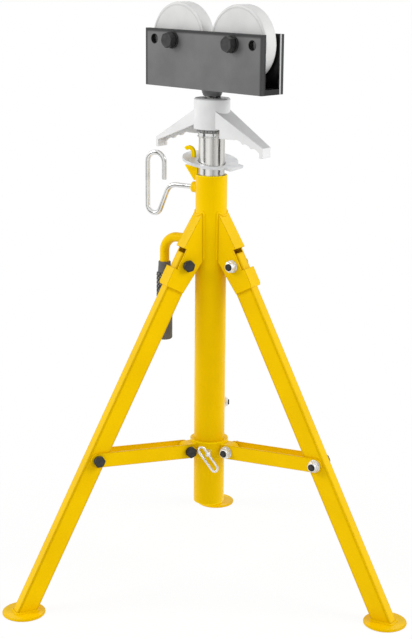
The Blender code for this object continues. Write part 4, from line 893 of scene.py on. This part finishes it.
greased_zinc = new_finish("greased_zinc_plate", 0.35, 0.4)
bare_metal = spread(greased_zinc, grain(greased_zinc, 240.0, 3.0), 0.0, 0.9, 0.5, 0.62)
dressed(
    greased_zinc,
    tinted(greased_zinc, bare_metal, GREASE, ZINC_DULL),
    spread(greased_zinc, grain(greased_zinc, 190.0, 3.0), 0.2, 0.4),
    grain(greased_zinc, 500.0),
    0.2,
)
thread = bmesh.new()
low = SCREW_TOP - SCREW_LENGTH - SCREW_PITCH
flank = [
    (SCREW_CORE, 0.0), (SCREW_CORE, 0.0016), (SCREW_RADIUS, 0.0025), (SCREW_RADIUS, 0.0041),
    (SCREW_CORE, SCREW_PITCH),
]
points = [thread.verts.new((radius, 0.0, low + height)) for radius, height in flank]
sides = [thread.edges.new((start, end)) for start, end in zip(points, points[1:])]
turns = round((SCREW_LENGTH + 2 * SCREW_PITCH) / SCREW_PITCH)
bmesh.ops.spin(
    thread, geom=points + sides, cent=(0, 0, 0), axis=(0, 0, 1), dvec=(0, 0, SCREW_PITCH / THREAD_STEPS),
    angle=math.tau * turns, steps=THREAD_STEPS * turns,
)
bmesh.ops.remove_doubles(thread, verts=thread.verts, dist=0.00002)
for height, normal in ((SCREW_TOP - SCREW_LENGTH, (0, 0, -1)), (SCREW_TOP, (0, 0, 1))):
    everything = list(thread.verts) + list(thread.edges) + list(thread.faces)
    bmesh.ops.bisect_plane(
        thread, geom=everything, plane_co=(0, 0, height), plane_no=normal, clear_outer=True,
    )
    bmesh.ops.holes_fill(thread, edges=[edge for edge in thread.edges if edge.is_boundary], sides=0)
stud = turned([
    (0.0, SCREW_TOP - 0.0025), (STUD_NECK, SCREW_TOP - 0.0025), (STUD_NECK, STUD_TOP - 0.001),
    (STUD_NECK - 0.001, STUD_TOP), (0.0, STUD_TOP),
])
screw = moved(together(thread, stud), on_stand(0.0))
finished("jack_screw_cut", screw, greased_zinc, "lift_screw")

# Roller head: a channel of 8 mm plate, painted dark grey, with a coned boss welded under it
# and a plated ring that holds it on the screw's stud. Painted shade darkens the top rim, the ends,
# the inside of the channel and the spare holes, and a painted highlight runs down the far plate's end faces.
HEAD_TURN = -42.4
AXLE_HEIGHT = 0.8558
GREY = (0.142, 0.142, 0.142)
GREY_SHADE = (0.098, 0.098, 0.10)
# Painted shade for the rim, the ends and the inside, and a painted highlight for the far plate's end faces.
GREY_EDGE_SHADE = (0.018, 0.018, 0.019)
GREY_INSIDE_SHADE = (0.004, 0.004, 0.004)
GREY_END_HIGHLIGHT = (0.55, 0.55, 0.55)
BOSS_LOW = 0.7760
BOSS_HIGH = 0.7850
CHANNEL_HALF = 0.1215
CHANNEL_RIM = 0.8713
CHANNEL_INSIDE = 0.015
SPARE_HOLE_ALONG = 0.102
SPARE_HOLE_RADIUS = 0.007


def head_places(material):
    """Distances along, across and up the head, from a spare hole's axis, and towards the far plate."""
    tree = material.node_tree
    place = tree.nodes.new("ShaderNodeTexCoord")
    mapping = tree.nodes.new("ShaderNodeMapping")
    turn = math.radians(-HEAD_TURN)
    mapping.inputs["Rotation"].default_value = (0.0, 0.0, turn)
    mapping.inputs["Location"].default_value = (AXIS_Y * math.sin(turn), -AXIS_Y * math.cos(turn), 0.0)
    tree.links.new(place.outputs["Object"], mapping.inputs["Vector"])
    size = tree.nodes.new("ShaderNodeVectorMath")
    size.operation = "ABSOLUTE"
    tree.links.new(mapping.outputs["Vector"], size.inputs[0])
    parts = tree.nodes.new("ShaderNodeSeparateXYZ")
    tree.links.new(size.outputs["Vector"], parts.inputs["Vector"])
    flat = tree.nodes.new("ShaderNodeVectorMath")
    flat.operation = "MULTIPLY"
    flat.inputs[1].default_value = (1.0, 0.0, 1.0)
    tree.links.new(size.outputs["Vector"], flat.inputs[0])
    apart = tree.nodes.new("ShaderNodeVectorMath")
    apart.operation = "DISTANCE"
    apart.inputs[1].default_value = (SPARE_HOLE_ALONG, 0.0, AXLE_HEIGHT)
    tree.links.new(flat.outputs["Vector"], apart.inputs[0])
    signed = tree.nodes.new("ShaderNodeSeparateXYZ")
    tree.links.new(mapping.outputs["Vector"], signed.inputs["Vector"])
    return (*(parts.outputs[axis] for axis in "XYZ"), apart.outputs["Value"], signed.outputs["Y"])


grey_coat = new_finish("dark_grey_paint", 0.42, 0.0)
grey_coat.node_tree.nodes["Principled BSDF"].inputs["Specular IOR Level"].default_value = 0.35
grey_along, grey_across, grey_up, grey_from_hole, grey_towards_far = head_places(grey_coat)
grey_tone = mottled(grey_coat, 24.0, 6.0, 0.55, GREY, GREY_SHADE)
# Painted shade: near black along the top rim and the ends, in the spare holes and inside the channel.
for distance, low, high, start, end, darker in (
    (grey_up, 0.0, 0.95, CHANNEL_RIM - 0.0058, CHANNEL_RIM - 0.0032, GREY_EDGE_SHADE),
    (grey_along, 0.0, 0.9, CHANNEL_HALF - 0.005, CHANNEL_HALF - 0.0026, GREY_EDGE_SHADE),
    (grey_from_hole, 1.0, 0.0, SPARE_HOLE_RADIUS + 0.0003, SPARE_HOLE_RADIUS + 0.001, GREY_INSIDE_SHADE),
    (grey_across, 1.0, 0.0, CHANNEL_INSIDE + 0.0002, CHANNEL_INSIDE + 0.0045, GREY_INSIDE_SHADE),
):
    grey_tone = tinted(grey_coat, spread(grey_coat, distance, low, high, start, end), grey_tone, darker)
# A painted highlight: a pale stripe down the far plate's end faces.
end_highlight = both_of(
    grey_coat,
    spread(grey_coat, grey_towards_far, 0.0, 1.0, CHANNEL_INSIDE - 0.0002, CHANNEL_INSIDE + 0.0002),
    spread(grey_coat, grey_towards_far, 1.0, 0.0, CHANNEL_INSIDE + 0.0022, CHANNEL_INSIDE + 0.003),
)
near_end = spread(grey_coat, grey_along, 0.0, 0.9, CHANNEL_HALF - 0.0012, CHANNEL_HALF - 0.0006)
end_highlight = both_of(grey_coat, end_highlight, near_end)
dressed(
    grey_coat,
    tinted(grey_coat, end_highlight, grey_tone, GREY_END_HIGHLIGHT),
    spread(grey_coat, grain(grey_coat, 90.0, 3.0), 0.34, 0.52),
    grain(grey_coat, 520.0, 3.0),
    0.25,
    0.0003,
)
finished("head_channel_painted", eased("head_channel", 0.0008), grey_coat, "head_channel")
boss = turned([
    (0.0092, BOSS_LOW), (0.0134, BOSS_LOW), (0.0142, BOSS_LOW + 0.0008), (0.0142, BOSS_LOW + 0.0024),
    (0.0150, BOSS_LOW + 0.0034), (0.0162, BOSS_HIGH - 0.0012), (0.0165, BOSS_HIGH), (0.0092, BOSS_HIGH),
])
boss_coat = new_finish("boss_grey_paint", 0.45, 0.0)
dressed(
    boss_coat,
    mottled(boss_coat, 60.0, 4.0, 0.7, GREY, GREY_SHADE),
    spread(boss_coat, grain(boss_coat, 90.0, 3.0), 0.36, 0.55),
    grain(boss_coat, 520.0, 3.0),
    0.25,
)
finished("head_boss_painted", moved(boss, on_stand(HEAD_TURN)), boss_coat, "head_boss")
finished("swivel_ring_plated", eased("swivel_retainer", 0.0003), bright_zinc,
         "swivel_retainer")

# Rollers: solid off-white plastic, turned, with soft rims painted darker grey along their edges and a ring
# cut in each face.
# Each runs on a plated steel bush over a black M14 bolt with a heavy washer.
ROLLER_RADIUS = 0.056
ROLLER_HALF = 0.0115
ROLLER_BORE = 0.0102
ROLLER_ROUND = 0.002
AXLE_ALONG = 0.06225
CHANNEL_SIDE = 0.0233
PLASTIC = (0.66, 0.66, 0.65)
PLASTIC_SHADE = (0.57, 0.57, 0.565)
PLASTIC_EDGE_GREY = (0.38, 0.38, 0.37)
AXLE_RADIUS = 0.007
AXLE_HEX = 0.021
AXLE_WASHER_RADIUS = 0.013
AXLE_WASHER = 0.0025
AXLE_HEAD = 0.011
AXLE_NUT = 0.011
AXLE_END = 0.003
AXLE_THREAD = 0.002

roller_plastic = new_finish("off_white_plastic", 0.42, 0.0)
plastic_shader = roller_plastic.node_tree.nodes["Principled BSDF"]
plastic_shader.inputs["Subsurface Weight"].default_value = 0.06
plastic_shader.inputs["Subsurface Radius"].default_value = (0.004, 0.004, 0.003)
dressed(
    roller_plastic,
    tinted(
        roller_plastic,
        edge_mask(roller_plastic, 0.0018, 0.55, 0.9, 0.99),
        mottled(roller_plastic, 30.0, 5.0, 0.6, PLASTIC, PLASTIC_SHADE),
        PLASTIC_EDGE_GREY,
    ),
    spread(roller_plastic, grain(roller_plastic, 110.0, 3.0), 0.34, 0.55),
    grain(roller_plastic, 700.0, 3.0),
    0.15,
)
rim = []
for towards, turns in ((-1, range(-90, 1, 30)), (1, range(0, 91, 30))):
    for degrees in turns:
        turn = math.radians(degrees)
        rim.append((
            ROLLER_RADIUS - ROLLER_ROUND + ROLLER_ROUND * math.cos(turn),
            towards * (ROLLER_HALF - ROLLER_ROUND) + ROLLER_ROUND * math.sin(turn),
        ))
face = [
    (0.0520, 0.0), (0.0515, 0.0004), (0.0508, 0.0004), (0.0503, 0.0), (0.0190, 0.0), (0.0180, 0.0006),
    (ROLLER_BORE + 0.0006, 0.0006),
]
roller_profile = [(radius, -ROLLER_HALF + sunk) for radius, sunk in reversed(face)] + rim
roller_profile += [(radius, ROLLER_HALF - sunk) for radius, sunk in face]
roller_profile += [(ROLLER_BORE, ROLLER_HALF - 0.0012), (ROLLER_BORE, -ROLLER_HALF + 0.0012)]
for name, along, degrees in (("left", -AXLE_ALONG, 17.0), ("right", AXLE_ALONG, 41.0)):
    axle = on_stand(HEAD_TURN) @ Matrix.Translation((along, 0, AXLE_HEIGHT))
    wheel = moved(turned(roller_profile, 96), axle @ Matrix.Rotation(math.pi / 2, 4, "X"))
    finished(f"roller_turned_{name}", wheel, roller_plastic, f"roller_{name}")
    bush = f"roller_bush_{name}"
    finished(f"{bush}_plated", eased(bush, 0.0002), bright_zinc, bush)
    spun = Matrix.Rotation(math.radians(degrees), 4, "Z")
    made = bolt(
        AXLE_RADIUS, AXLE_HEX, AXLE_WASHER_RADIUS, AXLE_WASHER, AXLE_HEAD, 2 * CHANNEL_SIDE,
        AXLE_WASHER + AXLE_NUT + AXLE_END, AXLE_THREAD,
    )
    head_seat = facing(on_stand(HEAD_TURN), along, CHANNEL_SIDE, AXLE_HEIGHT, -1)
    nut_seat = facing(on_stand(HEAD_TURN), along, CHANNEL_SIDE, AXLE_HEIGHT, 1)
    finished(f"axle_bolt_black_{name}", moved(made, head_seat @ spun), black_oxide,
             f"axle_bolt_{name}")
    nut = lock_nut(AXLE_RADIUS, AXLE_HEX, AXLE_WASHER_RADIUS, AXLE_WASHER, AXLE_NUT)
    finished(f"axle_nut_black_{name}", moved(nut, nut_seat @ spun), black_oxide,
             f"axle_nut_{name}")

# Studio: a plain pale floor that runs out to white, a soft lamp high on either side, black cards
# for the polished metal to reflect, and the camera a little above the head, looking down on the stand.
FLOOR_HALF = 40.0
FLOOR = (0.97, 0.97, 0.97)
CAMERA_PLACE = (0.08765, -2.18224 + AXIS_Y, 0.9955)
CAMERA_TURN = math.radians(2.69)
CAMERA_PITCH = math.radians(14.54)
CAMERA_ROLL = math.radians(0.42)
CAMERA_LENS = 81.58
CAMERA_SHIFT = 0.0083
CAMERA_SENSOR = 36.0
ROOM_LIGHT = 0.62
LAMP_AIM = (0.0, 0.0, 0.45)
LAMP_WIDTH = 1.3


def seen_straight(tree):
    """One for rays from the camera, or by way of polish or glass, and nought for soft light."""
    rays = tree.nodes.new("ShaderNodeLightPath")
    seen = rays.outputs["Is Camera Ray"]
    for kind in ("Is Glossy Ray", "Is Transmission Ray"):
        either = tree.nodes.new("ShaderNodeMath")
        either.operation = "MAXIMUM"
        tree.links.new(seen, either.inputs[0])
        tree.links.new(rays.outputs[kind], either.inputs[1])
        seen = either.outputs[0]
    return seen


floor_shape = bmesh.new()
bmesh.ops.create_grid(floor_shape, x_segments=1, y_segments=1, size=FLOOR_HALF)
floor_mesh = bpy.data.meshes.new("floor")
floor_shape.to_mesh(floor_mesh)
floor_shape.free()
floor = bpy.data.objects.new("floor", floor_mesh)
bpy.context.scene.collection.objects.link(floor)
floor_paint = bpy.data.materials.new("studio_floor")
floor_paint.use_nodes = True
tree = floor_paint.node_tree
plain = tree.nodes["Principled BSDF"]
plain.inputs["Base Color"].default_value = (*FLOOR, 1.0)
plain.inputs["Roughness"].default_value = 0.9
plain.inputs["Specular IOR Level"].default_value = 0.0
glow = tree.nodes.new("ShaderNodeEmission")
place = tree.nodes.new("ShaderNodeTexCoord")
reach = tree.nodes.new("ShaderNodeVectorMath")
reach.operation = "LENGTH"
tree.links.new(place.outputs["Object"], reach.inputs[0])
fade = spread(floor_paint, reach.outputs["Value"], 0.9, 1.0, 0.35, 0.9)
share = tree.nodes.new("ShaderNodeMath")
share.operation = "MULTIPLY"
tree.links.new(seen_straight(tree), share.inputs[0])
tree.links.new(fade, share.inputs[1])
both = tree.nodes.new("ShaderNodeMixShader")
tree.links.new(share.outputs[0], both.inputs[0])
tree.links.new(plain.outputs[0], both.inputs[1])
tree.links.new(glow.outputs[0], both.inputs[2])
tree.links.new(both.outputs[0], tree.nodes["Material Output"].inputs["Surface"])
floor_mesh.materials.append(floor_paint)

world = bpy.data.worlds.new("studio")
world.use_nodes = True
bpy.context.scene.world = world
tree = world.node_tree
sky = tree.nodes["Background"]
sky.inputs["Color"].default_value = (1.0, 1.0, 1.0, 1.0)
level = tree.nodes.new("ShaderNodeMapRange")
level.inputs["To Min"].default_value = ROOM_LIGHT
level.inputs["To Max"].default_value = 1.0
tree.links.new(seen_straight(tree), level.inputs["Value"])
tree.links.new(level.outputs["Result"], sky.inputs["Strength"])


def lamp(name, place, power):
    """A soft square lamp aimed at the middle of the stand."""
    light = bpy.data.lights.new(name, "AREA")
    light.shape = "SQUARE"
    light.size = LAMP_WIDTH
    light.energy = power
    holder = bpy.data.objects.new(name, light)
    holder.location = place
    holder.rotation_euler = (Vector(LAMP_AIM) - Vector(place)).to_track_quat("-Z", "Y").to_euler()
    bpy.context.scene.collection.objects.link(holder)


lamp("left_lamp", (-2.35, -0.72, 1.75), 35.0)
lamp("right_lamp", (2.35, -0.72, 1.75), 37.0)


def dark_card(name, azimuth, distance, half_width, half_height):
    """A black studio card that only polished metal sees."""
    shape = bmesh.new()
    bmesh.ops.create_grid(shape, x_segments=1, y_segments=1, size=1.0)
    bmesh.ops.scale(shape, vec=(half_width, half_height, 1.0), verts=shape.verts)
    turn = math.radians(azimuth)
    out = Vector((math.cos(turn), math.sin(turn), 0.0))
    stand = (-out).to_track_quat("Z", "Y").to_matrix().to_4x4()
    moved(shape, Matrix.Translation(out * distance + Vector((0, AXIS_Y, 0.7))) @ stand)
    mesh = bpy.data.meshes.new(name)
    shape.to_mesh(mesh)
    shape.free()
    mesh.materials.append(card_black)
    card = bpy.data.objects.new(name, mesh)
    bpy.context.scene.collection.objects.link(card)
    card.visible_camera = False
    card.visible_diffuse = False
    card.visible_shadow = False
    card.visible_transmission = False


card_black = new_finish("card_black", 1.0, 0.0)
card_black.node_tree.nodes["Principled BSDF"].inputs["Base Color"].default_value = (0.02, 0.02, 0.02, 1.0)
dark_card("card_left", 205.0, 1.6, 0.28, 1.2)
dark_card("card_right", 340.0, 1.6, 0.30, 1.2)
dark_card("card_front", 285.0, 3.4, 0.30, 1.4)

ahead = Vector((
    -math.sin(CAMERA_TURN) * math.cos(CAMERA_PITCH),
    math.cos(CAMERA_TURN) * math.cos(CAMERA_PITCH),
    -math.sin(CAMERA_PITCH),
))
level_right = ahead.cross(Vector((0, 0, 1))).normalized()
level_up = level_right.cross(ahead)
right = math.cos(CAMERA_ROLL) * level_right + math.sin(CAMERA_ROLL) * level_up
up = -math.sin(CAMERA_ROLL) * level_right + math.cos(CAMERA_ROLL) * level_up
lens = bpy.data.cameras.new("camera")
lens.lens = CAMERA_LENS
lens.sensor_fit = "VERTICAL"
lens.sensor_width = CAMERA_SENSOR
lens.sensor_height = CAMERA_SENSOR
lens.shift_x = CAMERA_SHIFT
lens.shift_y = 0.0
lens.clip_end = 200.0
camera = bpy.data.objects.new("camera", lens)
bpy.context.scene.collection.objects.link(camera)
camera.matrix_world = Matrix.Translation(CAMERA_PLACE) @ Matrix((right, up, -ahead)).transposed().to_4x4()
bpy.context.scene.camera = camera
bpy.context.scene.view_settings.view_transform = "Standard"
